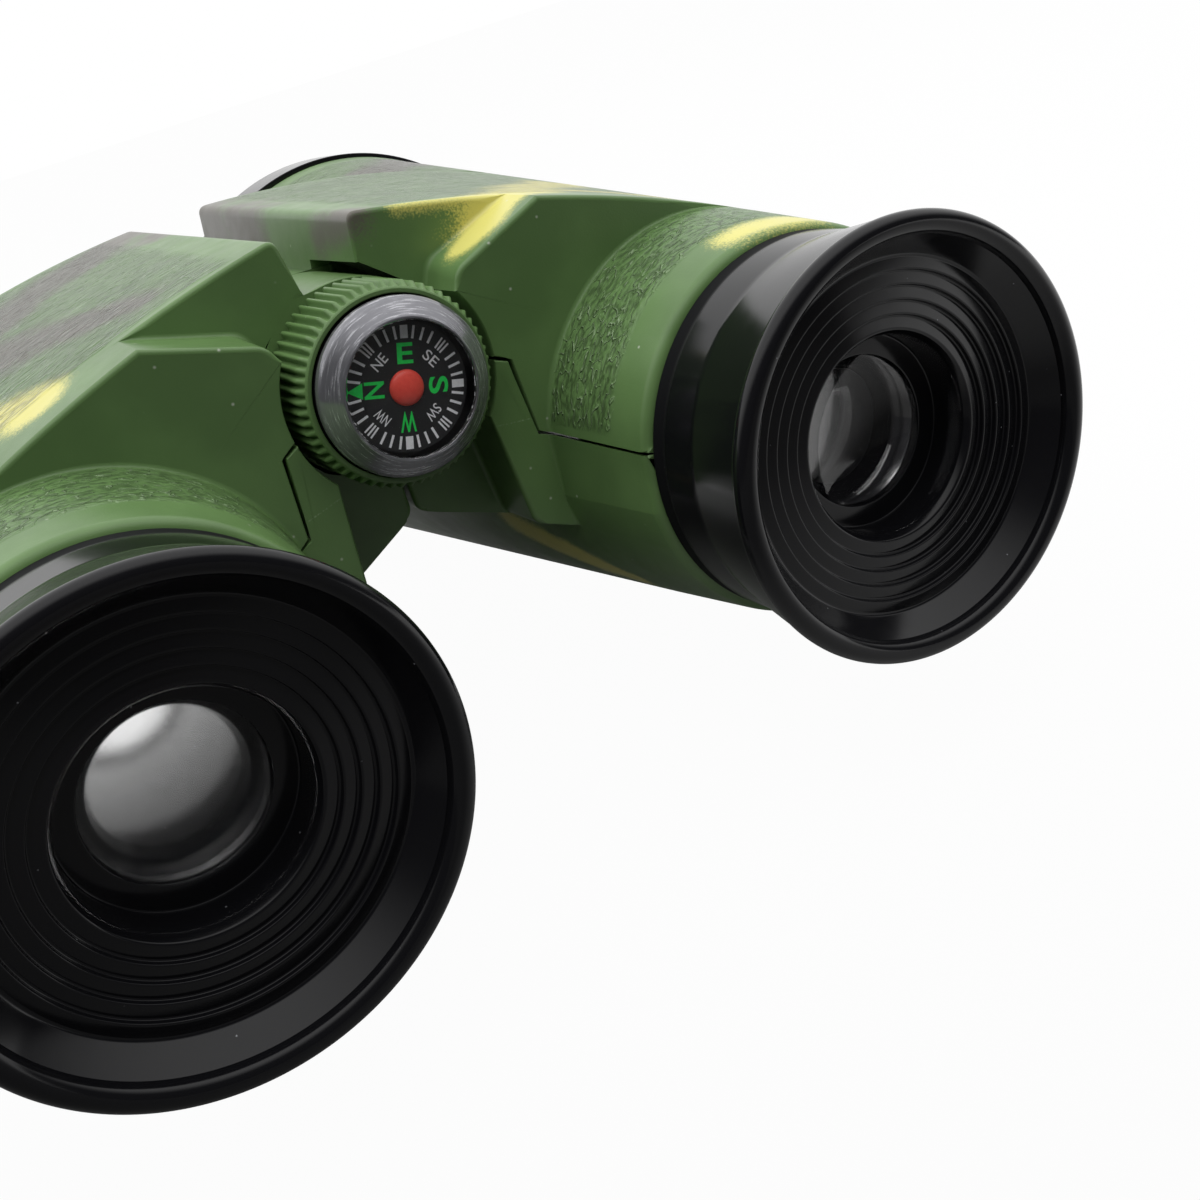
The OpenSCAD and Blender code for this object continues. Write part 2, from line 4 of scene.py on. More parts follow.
import bmesh
import bpy
import numpy as np
from mathutils import Matrix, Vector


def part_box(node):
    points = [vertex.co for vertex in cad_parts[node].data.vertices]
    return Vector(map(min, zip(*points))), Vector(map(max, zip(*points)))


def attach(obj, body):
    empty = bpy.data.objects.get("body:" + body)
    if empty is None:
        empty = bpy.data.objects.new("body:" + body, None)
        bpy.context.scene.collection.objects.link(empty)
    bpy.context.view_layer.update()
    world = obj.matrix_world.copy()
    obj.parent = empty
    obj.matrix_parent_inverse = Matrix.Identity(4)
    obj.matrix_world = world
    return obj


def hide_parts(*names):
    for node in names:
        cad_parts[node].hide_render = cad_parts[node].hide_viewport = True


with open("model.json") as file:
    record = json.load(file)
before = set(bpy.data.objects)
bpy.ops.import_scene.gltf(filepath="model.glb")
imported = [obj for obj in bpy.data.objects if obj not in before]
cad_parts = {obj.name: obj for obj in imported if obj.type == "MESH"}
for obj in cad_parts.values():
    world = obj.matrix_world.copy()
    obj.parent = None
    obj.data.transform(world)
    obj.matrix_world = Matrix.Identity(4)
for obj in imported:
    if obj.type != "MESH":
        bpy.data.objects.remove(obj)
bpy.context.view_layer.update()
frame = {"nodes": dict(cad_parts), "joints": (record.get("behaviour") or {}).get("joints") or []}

# Body shells: each half is an upper and a lower shell of moulded green ABS, screwed together from below along
# a stepped parting line. A conical barrel carries a block with hinge knuckles, and behind it a raised plate
# beside the knob. Lengths are in millimetres from the hinge axis in the plane of the compass rim, y forward.
MM = 0.001
hinge = np.array([joint["pos_m"] for joint in frame["joints"] if joint["name"] == "card_spin"][0]) / MM
SIDES = {"left": -1, "right": 1}


def node_box(node):
    """Lowest and highest corner of a CAD node in millimetres from the hinge."""
    return [np.array(corner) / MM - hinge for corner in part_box(node)]


# The barrels stand this far from the hinge, and the halves are folded down by this angle
barrel_reach = sum(node_box("right_objective_ring")) / 2
arm = math.hypot(barrel_reach[0], barrel_reach[2])
fold = math.atan2(-barrel_reach[2], barrel_reach[0])
collar_end = node_box("right_upper_shell")[0][1]
barrel_end = node_box("right_upper_shell")[1][1]
collar_r = 16.1
barrel_r = 25.2
shell_wall = 2
spigot_seat = 0.75
ring_seat = 81.8
ring_seat_r = 23.14
seat_step = 0.1
seat_stations = [spigot_seat, spigot_seat + seat_step, ring_seat, ring_seat + seat_step]
part_gap = 0.24
part_drop = 3.4
part_rise = 2.45
part_slant = 3.25
part_run_x = 9.9
rear_face = 2.7
step_face = 8.5
block_front = 55.3
block_lean = 2.7
edge_rear_h = 12.9
edge_front_h = 13.9
edge_round = 0.9
crown_rear = 1.2
crown_front = 1.55
web_drop = 11.1
plate_x = 4.65
plate_top = 9.25
plate_slant = 6.45
plate_draft = 0.5
plate_low = -1.85
stop_half = 0.2
pocket_r = 8.9
recess_r = 9.2
knuckle_r = 8.2
knuckle_gap = 0.3
knuckles = 4
knuckle_pitch = (block_front - step_face) / knuckles
# Points on each run of the outlines, in order. The parting faces and the barrel's bore are alike on both
# shells.
upper_runs = {"slope": 8, "mouth": 5, "bore": 96, "wall": 8, "edge": 8, "over": 10, "crest": 34,
              "outside": 60}
lower_runs = {"slope": 8, "mouth": 5, "bore": 40, "wall": 10, "edge": 8, "web": 12, "outside": 72}
face_run, rim_run, barrel_run = 6, 4, 72


def folded(points, side):
    """Points of a half drawn flat, x away from the hinge and z up, turned down about the hinge by the fold.
    The left half is the mirror image."""
    x, y, z = np.moveaxis(np.asarray(points, float), -1, 0)
    turned_x = x * math.cos(fold) + z * math.sin(fold)
    return np.stack([side * turned_x, y, z * math.cos(fold) - x * math.sin(fold)], -1)


def unfolded(x, z):
    """A point of the folded section, in the flat section of its half."""
    return np.array([x * math.cos(fold) - z * math.sin(fold), x * math.sin(fold) + z * math.cos(fold)])


def line(a, b, count):
    """Evenly spaced points from a towards b, without b."""
    a, b = np.asarray(a, float), np.asarray(b, float)
    return a + np.linspace(0, 1, count, endpoint=False)[:, None] * (b - a)


def heading(angle):
    """Unit vectors at angles in radians."""
    return np.stack([np.cos(angle), np.sin(angle)], -1)


def arc(centre, radius, start, end, count):
    """Points on a circle from one angle in radians towards another, without the last."""
    return np.asarray(centre) + radius * heading(np.linspace(start, end, count, endpoint=False))


def short_of(point, other, distance):
    """The point that lies that far from a corner on the way to another, at most half the way."""
    run = np.asarray(other, float) - point
    return point + run * min(0.5, distance / np.linalg.norm(run))


def rounded(before, point, after, radius, count):
    """A parabola that touches both sides of a corner at the radius from it, without its last point."""
    t = np.linspace(0, 1, count, endpoint=False)[:, None]
    start, end = short_of(point, before, radius), short_of(point, after, radius)
    return (1 - t) ** 2 * start + 2 * t * (1 - t) * np.asarray(point) + t ** 2 * end


def barrel_at(y):
    """Outer radius of the cone of collar and barrel at station y."""
    return collar_r + (barrel_r - collar_r) * (y - collar_end) / (barrel_end - collar_end)


def barrel_bore(y):
    """Inner radius: a straight seat for the eyepiece, a cone of even wall, a straight seat for the hood."""
    seat_r = collar_r - shell_wall
    stations = [collar_end, *seat_stations, barrel_end]
    cone = [barrel_at(spigot_seat) - shell_wall, barrel_at(ring_seat) - shell_wall]
    return float(np.interp(y, stations, [seat_r, seat_r, cone[0], cone[1], ring_seat_r, ring_seat_r]))


def top_line(x, y):
    """Height of the top panel: a chord from its inner edge to the crest of the barrel, with a shallow
    crown."""
    along = min(1, max(0, (y - step_face) / (block_front - step_face)))
    edge = edge_rear_h + (edge_front_h - edge_rear_h) * along
    crown = crown_rear + (crown_front - crown_rear) * along
    t = (np.asarray(x) + block_lean) / (arm + block_lean)
    return edge + (barrel_at(y) - edge) * t + crown * 4 * t * (1 - t)


def part_corners(gap):
    """The two corners of the stepped parting line, raised by the gap at an even width."""
    slope = math.atan2(part_rise + part_drop, part_slant)
    knee_x = part_run_x + gap * math.tan(slope / 2)
    return np.array([knee_x + part_slant, gap - part_drop]), np.array([knee_x, gap + part_rise])


def crossing(start, run, radius):
    """Where a line from start leaves a circle about the origin, in shares of its run: the larger root of the
    quadratic for the distance."""
    a, b, c = run @ run, 2 * start @ run, start @ start - radius ** 2
    return (math.sqrt(max(0, b * b - 4 * a * c)) - b) / (2 * a)


def part_hit(radius, gap):
    """Where the parting line leaves a circle about the barrel axis on the hinge side: on its low run, or else
    on its high run, or else on the slope between them."""
    heel, knee = part_corners(gap)
    low_x = arm - math.sqrt(radius ** 2 - heel[1] ** 2)
    high_x = arm - math.sqrt(radius ** 2 - knee[1] ** 2)
    if low_x > heel[0]:
        return np.array([low_x, heel[1]])
    if high_x < knee[0]:
        return np.array([high_x, knee[1]])
    return heel + (knee - heel) * crossing(heel - barrel_axis, knee - heel, radius)


def shares(points, end):
    """Each point's share of the length of an outline."""
    lengths = np.linalg.norm(np.diff(np.vstack([points, end]), axis=0), axis=1)
    return np.concatenate([[0], np.cumsum(lengths)[:-1]]) / lengths.sum()


def axis_angle(point):
    """Angle of a point about the barrel axis, from 0 to a full turn."""
    return math.atan2(point[1], point[0] - arm) % (2 * math.pi)


barrel_axis = np.array([arm, 0])
web_low = unfolded(stop_half, -(web_drop + stop_half * math.sin(fold)) / math.cos(fold))
web_high = unfolded(stop_half, -knuckle_r)


def seam_run(y, gap, bore, runs):
    """The parting line from its heel, or from the barrel's bore where that is nearer the hinge, up the slope
    and in to the hinge bore, and the angle of its mouth there."""
    heel, knee = part_corners(gap)
    if part_hit(barrel_bore(y), gap)[0] < heel[0]:
        heel = part_hit(barrel_bore(y), gap)
    mouth = math.asin(knee[1] / bore)
    inner = [bore * math.cos(mouth), knee[1]]
    return np.vstack([line(heel, knee, runs["slope"]), line(knee, inner, runs["mouth"])]), mouth


def closed_section(y, gap, side, start, turns, run):
    """Closed section of a shell: the parting face, its hinge side, the barrel from a start angle to the outer
    parting face, whose angle is counted on by full turns, that face and the bore."""
    radius, bore, low = barrel_at(y), barrel_bore(y), gap - part_drop
    foot = part_hit(bore, gap)
    outer, inner = [turns * 2 * math.pi + math.asin(low / r) for r in (radius, bore)]
    return np.vstack([
        line(foot, side[0], face_run),
        side,
        arc(barrel_axis, radius, start, outer, run),
        line([arm + radius * math.cos(outer), low], [arm + bore * math.cos(inner), low], rim_run),
        arc(barrel_axis, bore, inner, axis_angle(foot), barrel_run),
    ])


def upper_edge(y, kind):
    """Hinge side of the upper shell from the heel of the parting line to the crest of the barrel: up the
    slope, in to the bore, round it, up the inner wall, over the rounded edge and along the top. A knuckle's
    bore is a full eye instead, and the rear plate has a straight wall and a slanted edge."""
    bore = {"plate": pocket_r, "room": recess_r, "knuckle": knuckle_r}[kind]
    seam, mouth = seam_run(y, part_gap, bore, upper_runs)
    shoulder = np.array([plate_x + plate_slant, top_line(plate_x + plate_slant, y)])
    if kind == "plate":
        edge = np.array([plate_x, plate_top + plate_draft * (y - rear_face) / (step_face - rear_face)])
        end, after = math.acos(plate_x / bore), shoulder
    else:
        edge = np.array([-block_lean, top_line(-block_lean, y)])
        after = np.array([2 * edge_round - block_lean, top_line(2 * edge_round - block_lean, y)])
        wall_foot = web_high + (edge - web_high) * crossing(web_high, edge - web_high, bore)
        end = math.atan2(wall_foot[1], wall_foot[0]) - (2 * math.pi if kind == "knuckle" else 0)
    foot = bore * heading(end)
    lip = short_of(edge, after, edge_round)
    round_bore = arc([0, 0], bore, mouth, end, upper_runs["bore"])
    if kind == "knuckle":
        t = np.linspace(0, 1, upper_runs["bore"], endpoint=False)
        round_bore = bore * heading(mouth + (end - mouth) * (t - np.sin(2 * math.pi * t) / (2 * math.pi)))
    over = line(lip, shoulder, upper_runs["over"])
    if kind != "plate":
        over[:, 1] = top_line(over[:, 0], y)
    crest_x = np.linspace(shoulder[0], arm, upper_runs["crest"], endpoint=False)
    return np.vstack([
        seam,
        round_bore,
        line(foot, short_of(edge, foot, edge_round), upper_runs["wall"]),
        rounded(foot, edge, after, edge_round, upper_runs["edge"]),
        over,
        np.stack([crest_x, top_line(crest_x, y)], -1),
    ])


def upper_outline(y, kind):
    """Closed section of the upper shell. On the bare barrel the hinge side lies along the cone, with its
    points in the same shares as on the nearest part of the block."""
    radius = barrel_at(y)
    if kind == "barrel":
        model = upper_edge(rear_face, "plate") if y < step_face else upper_edge(block_front, "room")
        rim = axis_angle(part_hit(radius, part_gap))
        turn = rim + shares(model, np.array([arm, radius])) * (math.pi / 2 - rim)
        side = barrel_axis + radius * heading(turn)
    else:
        side = upper_edge(y, kind)
    return closed_section(y, part_gap, side, math.pi / 2, 0, upper_runs["outside"])


def lower_edge(y, kind):
    """Hinge side of the lower shell from the heel of the parting line to where the web meets the barrel: up
    the slope, in to the bore, round it, down the stop face or the plate's slanted edge, and out under the
    web."""
    bore = {"plate": pocket_r, "room": recess_r, "knuckle": knuckle_r + part_gap}[kind]
    seam, mouth = seam_run(y, 0, bore, lower_runs)
    if kind == "plate":
        slope = plate_x - plate_low
        x = (slope + math.sqrt(2 * bore ** 2 - slope ** 2)) / 2
        end, edge = math.atan2(slope - x, x), np.array([plate_x + web_drop + plate_low, -web_drop])
    else:
        end = math.atan2(*unfolded(stop_half, -math.sqrt(bore ** 2 - stop_half ** 2))[::-1])
        edge = web_low
    foot = bore * heading(end)
    junction = np.array([arm - math.sqrt(barrel_at(y) ** 2 - web_drop ** 2), -web_drop])
    return np.vstack([
        seam,
        arc([0, 0], bore, mouth, end, lower_runs["bore"]),
        line(foot, short_of(edge, foot, edge_round), lower_runs["wall"]),
        rounded(foot, edge, junction, edge_round, lower_runs["edge"]),
        line(short_of(edge, junction, edge_round), junction, lower_runs["web"]),
    ])


def lower_outline(y, kind):
    """Closed section of the lower shell. On the bare barrel the hinge side lies along the cone as on the
    upper shell, but behind the block its points start from where the parting line's slope meets the cone."""
    radius = barrel_at(y)
    junction = np.array([arm - math.sqrt(radius ** 2 - web_drop ** 2), -web_drop])
    if kind == "barrel":
        model = lower_edge(rear_face, "plate") if y < step_face else lower_edge(block_front, "room")
        rim = start = axis_angle(part_hit(radius, 0))
        if y < step_face:
            heel, knee = part_corners(0)
            share = crossing(heel - barrel_axis, knee - heel, barrel_at(rear_face))
            start = axis_angle(heel + (knee - heel) * share)
        turn = start + shares(model, junction) * (axis_angle(junction) - start)
        turn[0] = rim
        side = barrel_axis + radius * heading(turn)
    else:
        side = lower_edge(y, kind)
    return closed_section(y, 0, side, axis_angle(junction), 1, lower_runs["outside"])


def inward(outline, turn):
    """Unit normals of a closed outline towards its inside; turn is 1 for a clockwise outline and else -1."""
    along = np.roll(outline, -1, 0) - np.roll(outline, 1, 0)
    along /= np.linalg.norm(along, axis=1)[:, None] + 1e-9
    return turn * np.stack([along[:, 1], -along[:, 0]], -1)


def station(outline, y):
    """An outline of the section stood at station y."""
    return np.stack([outline[:, 0], np.full(len(outline), y), outline[:, 1]], -1)


# Roundings of the shells: fine ones at the parting faces and bores, those of outer edges and of the two ends,
# and the hollow fillets where a face rises. The knuckles' side faces have tighter ones.
part_round, face_round, end_round, face_hollow = 0.12, 0.4, 0.9, 0.45
knuckle_round, knuckle_hollow = 0.15, 0.1
ROLL = np.radians([0, 18, 36, 54, 72, 90])


def face_rows(low_at, between, high_at, y, looks, turn, radius, hollow):
    """Rows of a flat face at station y, from the outline that it rises from to the outline of its edge: a
    hollow fillet, the flat and a quarter round, which take only a share of a low face. Both outlines are
    taken at each row's own station, so where the face has no height the cone runs on through it."""
    hair, round_share, hollow_share = 0.01, 0.45, 0.3
    low, high = low_at(y), high_at(y)
    normal = inward(high, turn)
    height = np.abs(np.sum((low - high) * normal, 1))
    edge = np.minimum(radius, round_share * height)[:, None]
    rise = high - low
    length = np.linalg.norm(rise, axis=1)[:, None]
    fillet = np.minimum(hollow, hollow_share * length) * rise / (length + 1e-9)
    foot_y = y + looks * (hair + hollow * (1 - np.sin(ROLL)))
    rim_y = y - looks * radius.max() * (1 - np.cos(ROLL))
    foot = [station(low_at(s) + fillet * (1 - math.cos(a)), s) for a, s in zip(ROLL, foot_y)]
    middle = [] if between is None else [station(between + normal * edge, y + looks * hair / 2)]
    rim = [station(high_at(s) + normal * edge * (1 - math.sin(a)), s) for a, s in zip(ROLL, rim_y)]
    return foot + middle + rim


def end_rows(outline, y, looks, turn, radius):
    """Rows of a rounded end at station y, from its flat to the full outline."""
    inset = inward(outline, turn) * radius[:, None]
    end_y = y - looks * radius.max() * (1 - np.cos(ROLL))
    return [station(outline + inset * (1 - math.sin(a)), s) for a, s in zip(ROLL, end_y)]


def shell_rows(outline, turn, zones, edges, ends):
    """All rows of a shell from rear to front. Zones are (kind, rear, front) along the hinge. Each kind stands
    proud of the ones before it in the order here, and a face joins each pair of zones."""
    order = ["barrel", "plate", "room", "knuckle"]
    rows = end_rows(outline(collar_end, "barrel"), collar_end, -1, turn, ends)
    for (kind, rear, front), after in zip(zones, zones[1:] + [None]):
        rows += [station(outline(y, kind), y) for y in seat_stations if rear < y < front]
        if after is None:
            rows += end_rows(outline(barrel_end, kind), barrel_end, 1, turn, ends)[::-1]
            continue
        low, high = sorted([kind, after[0]], key=order.index)
        via = outline(front, "room") if high == "knuckle" and low != "room" else None
        looks = -1 if high == after[0] else 1
        radius, hollow = edges, face_hollow
        if low == "room":
            radius, hollow = np.minimum(edges, knuckle_round), knuckle_hollow
        face = face_rows(lambda y, kind=low: outline(y, kind), via, lambda y, kind=high: outline(y, kind),
                         front, looks, turn, radius, hollow)
        rows += face[::-looks]
    return np.array(rows)


def skin(rows, columns, ring=False, capped=False):
    """Quads of a grid of points counted row by row, whose columns close round. A ring closes its rows too,
    and a capped skin has a face at each end."""
    r = np.arange(rows if ring else rows - 1)[:, None]
    c = np.arange(columns)[None, :]
    here, there = r * columns, (r + 1) % rows * columns
    right = (c + 1) % columns
    quads = np.stack([here + c, here + right, there + right, there + c], -1).reshape(-1, 4).tolist()
    last = (rows - 1) * columns
    return quads + ([list(range(columns)), list(range(last, last + columns))] if capped else [])


def new_object(name, data):
    """A new object in the scene."""
    thing = bpy.data.objects.new(name, data)
    bpy.context.scene.collection.objects.link(thing)
    return thing


def new_mesh(name, points, faces):
    """A mesh of points in millimetres from the hinge."""
    mesh = bpy.data.meshes.new(name)
    mesh.from_pydata(((np.asarray(points, float) + hinge) * MM).tolist(), [], faces)
    return mesh


def closed_mesh(name, points, faces):
    """A mesh whose doubles, within a ten-thousandth of a millimetre, are merged and whose faces look
    outwards."""
    mesh = new_mesh(name, points, faces)
    tidy = bmesh.new()
    tidy.from_mesh(mesh)
    bmesh.ops.remove_doubles(tidy, verts=tidy.verts, dist=1e-4 * MM)
    bmesh.ops.recalc_face_normals(tidy, faces=tidy.faces)
    tidy.to_mesh(mesh)
    tidy.free()
    return mesh


def make_piece(name, points, faces, material, body, slot, *nodes):
    """A closed mesh, smooth apart from its sharp edges and from flats that look along the hinge, which rides
    on a body and stands for CAD nodes."""
    sharp_angle, along_hinge = math.radians(32), 0.9998
    mesh = closed_mesh(name, points, faces)
    mesh.shade_smooth()
    mesh.set_sharp_from_angle(angle=sharp_angle)
    normals = np.zeros(len(mesh.polygons) * 3)
    mesh.polygons.foreach_get("normal", normals)
    mesh.polygons.foreach_set("use_smooth", np.abs(normals[1::3]) < along_hinge)
    mesh.materials.append(material)
    piece = new_object(name, mesh)
    flats = piece.modifiers.new("even_flats", "WEIGHTED_NORMAL")
    flats.keep_sharp = True
    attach(piece, body)
    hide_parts(*nodes)
    return piece


def feed(node, inputs):
    """Gives inputs of a shader node, by name or number, a socket to link or a plain value."""
    for key, value in inputs.items():
        if isinstance(value, bpy.types.NodeSocket):
            node.id_data.links.new(value, node.inputs[key])
        else:
            node.inputs[key].default_value = value


def wire(tree, kind, inputs=None, **settings):
    """A new shader node with its settings and inputs."""
    node = tree.nodes.new("ShaderNode" + kind)
    for name, value in settings.items():
        setattr(node, name, value)
    feed(node, inputs or {})
    return node


def sums(tree, operation, *values):
    """Result of a Math node on sockets or numbers."""
    return wire(tree, "Math", dict(enumerate(values)), operation=operation).outputs[0]


def times(tree, first, *others):
    """Product of sockets or numbers."""
    for other in others:
        first = sums(tree, "MULTIPLY", first, other)
    return first


def vectors(tree, operation, *values):
    """Result of a Vector Math node on sockets or vectors."""
    node = wire(tree, "VectorMath", dict(enumerate(values)), operation=operation)
    return node.outputs["Value" if operation in ("DOT_PRODUCT", "LENGTH") else "Vector"]


def fade(tree, value, low, high):
    """Smooth step of a value from 0 at low to 1 at high."""
    return wire(tree, "MapRange", {"Value": value, "From Min": low, "From Max": high},
                interpolation_type="SMOOTHSTEP").outputs["Result"]


def spread(tree, share, low, high):
    """A value that goes evenly from low to high with a share."""
    return wire(tree, "MapRange", {"Value": share, "To Min": low, "To Max": high}).outputs["Result"]


def noise(tree, place, scale, detail, **more):
    """Cloudy noise about a half, of a scale and with finer octaves."""
    return wire(tree, "TexNoise", {"Vector": place, "Scale": scale, "Detail": detail, **more}).outputs["Fac"]


def blend(tree, share, a, b):
    """Mix of two colours, each a socket or (red, green, blue), by a share."""
    a, b = [colour if isinstance(colour, bpy.types.NodeSocket) else (*colour, 1) for colour in (a, b)]
    return wire(tree, "Mix", {0: share, 6: a, 7: b}, data_type="RGBA").outputs[2]


def effect_group(name, inputs, outputs):
    """An empty node group with named sockets, what it is given and its output node; inputs are (name, kind,
    default)."""
    tree = bpy.data.node_groups.new(name, "ShaderNodeTree")
    for label, kind, value in inputs:
        socket = tree.interface.new_socket(label, in_out="INPUT", socket_type="NodeSocket" + kind)
        socket.default_value = value
    for label, kind in outputs:
        tree.interface.new_socket(label, in_out="OUTPUT", socket_type="NodeSocket" + kind)
    entry, leave = tree.nodes.new("NodeGroupInput"), tree.nodes.new("NodeGroupOutput")
    return tree, entry.outputs, leave


def place_group(tree, group, inputs):
    """Outputs of an effect group placed in a material, with its own values."""
    return wire(tree, "Group", inputs, node_tree=group).outputs


# One pass of the spray gun or a painted highlight line: distance to a straight stroke, made ragged by noise,
# faded over the soft edge
spray_and_highlight_stroke, given, out = effect_group("spray_and_highlight_stroke", [
    ("Place", "Vector", (0, 0, 0)), ("From", "Vector", (0, 0, 0)), ("To", "Vector", (1, 0, 0)),
    ("Width", "Float", 2.0), ("Softness", "Float", 1.0)], [("Mask", "Float")])
along = vectors(spray_and_highlight_stroke, "SUBTRACT", given["To"], given["From"])
offset = vectors(spray_and_highlight_stroke, "SUBTRACT", given["Place"], given["From"])
share = sums(spray_and_highlight_stroke, "DIVIDE", vectors(spray_and_highlight_stroke, "DOT_PRODUCT", offset, along),
             vectors(spray_and_highlight_stroke, "DOT_PRODUCT", along, along))
share = wire(spray_and_highlight_stroke, "Clamp", {"Value": share}).outputs[0]
foot = wire(spray_and_highlight_stroke, "VectorMath", {0: along, "Scale": share}, operation="SCALE").outputs["Vector"]
distance = vectors(spray_and_highlight_stroke, "LENGTH", vectors(spray_and_highlight_stroke, "SUBTRACT", offset, foot))
unevenness = 2.2
for size, scale in ((given["Width"], 0.16), (given["Softness"], 5.5)):
    drift = sums(spray_and_highlight_stroke, "SUBTRACT", noise(spray_and_highlight_stroke, given["Place"], scale, 2.0), 0.5)
    shift = times(spray_and_highlight_stroke, drift, times(spray_and_highlight_stroke, size, unevenness))
    distance = sums(spray_and_highlight_stroke, "ADD", distance, shift)
beyond = sums(spray_and_highlight_stroke, "SUBTRACT", distance, given["Width"])
soft_edge = sums(spray_and_highlight_stroke, "DIVIDE", beyond, given["Softness"])
feed(out, {"Mask": fade(spray_and_highlight_stroke, soft_edge, 1.0, -0.6)})

# Bark-like grain of the mould: noise drawn out across the section, kept where it crosses its mean as ridges
# that thin out here and there, over pebbles
bark_grain, given, out = effect_group("bark_grain", [
    ("Place", "Vector", (0, 0, 0)), ("Coarseness", "Float", 1.0)], [("Height", "Float")])
drawn = vectors(bark_grain, "MULTIPLY", given["Place"], (0.5, 1.1, 0.5))
waves = noise(bark_grain, drawn, given["Coarseness"], 1.0, Roughness=0.5, Distortion=0.5)
away = sums(bark_grain, "ABSOLUTE", sums(bark_grain, "SUBTRACT", waves, 0.5))
thin_out = fade(bark_grain, noise(bark_grain, given["Place"], 0.9, 1.0), 0.30, 0.50)
ridges = times(bark_grain, fade(bark_grain, away, 0.045, 0.0), thin_out)
pebbles = times(bark_grain, noise(bark_grain, drawn, 2.4, 1.5), 0.7)
feed(out, {"Height": sums(bark_grain, "ADD", ridges, pebbles)})

# Dust: one small speck in some of the cells of a random mosaic
dust_specks, given, out = effect_group("dust_specks", [
    ("Place", "Vector", (0, 0, 0)), ("Spacing", "Float", 0.35), ("Size", "Float", 0.05)], [("Mask", "Float")])
cells = wire(dust_specks, "TexVoronoi", {"Vector": given["Place"], "Scale": given["Spacing"]})
chosen = wire(dust_specks, "TexWhiteNoise", {"Vector": cells.outputs["Position"]}).outputs["Value"]
near = fade(dust_specks, cells.outputs["Distance"], given["Size"], 0.0)
feed(out, {"Mask": times(dust_specks, near, fade(dust_specks, chosen, 0.5, 0.7))})


def dust_on(tree, place, spacing, size):
    """Mask of the dust on a finish."""
    return place_group(tree, dust_specks, {"Place": place, "Spacing": spacing, "Size": size})["Mask"]


def new_finish(name, roughness, colour=(0.5, 0.5, 0.5)):
    """A material with its tree and its Principled shader."""
    material = bpy.data.materials.new(name)
    material.use_nodes = True
    shader = material.node_tree.nodes["Principled BSDF"]
    feed(shader, {"Base Color": (*colour, 1), "Roughness": roughness})
    return material, material.node_tree, shader


def flat_place(tree, side=1):
    """Place of a point in the flat section of its half, in millimetres from the hinge."""
    coords = wire(tree, "TexCoord").outputs["Object"]
    return wire(tree, "Mapping", {
        "Vector": coords, "Location": tuple(hinge * MM), "Rotation": (0, side * fold, 0),
        "Scale": (side * MM, MM, MM)}, vector_type="TEXTURE").outputs["Vector"]


def relief(tree, height, strength, distance):
    """Normal bent by a height that stands for a distance in metres."""
    bump = wire(tree, "Bump", {"Height": height, "Strength": strength, "Distance": distance})
    return bump.outputs["Normal"]


def from_axis(tree, x, z):
    """Distance from an axis along y, the root of the sum of the squares."""
    return sums(tree, "SQRT", sums(tree, "ADD", times(tree, x, x), times(tree, z, z)))


leaf_green = (0.110, 0.198, 0.067)
deep_green = (0.090, 0.164, 0.055)
straw_yellow = (0.60, 0.56, 0.155)
earth_brown = (0.108, 0.099, 0.082)
pale_green = (0.34, 0.44, 0.28)
bore_black = (0.012, 0.013, 0.012)
dust_white = (0.60, 0.62, 0.54)

# Where the mould's grain begins and where it is full, in millimetres: on the panel from the rear, the hinge
# and the front, off the block's front step, on the collar, above the seam, and where one grain becomes
# another. Below its skin by the depth given last, the barrel is black.
grain_rear, grain_edge, grain_front, grain_step = (9.6, 10.6), (0.0, 1.6), (84.0, 83.0), (0.6, 1.3)
collar_rear, collar_front, above_seam, grain_change = (-6.2, -5.0), (2.6, 2.2), (-2.6, -1.6), (4.0, 6.0)
bore_depth = (0.7, 1.1)
# Colour of the painted shade in the grain's pits
pit_shade_colour = (0.018, 0.03, 0.012)


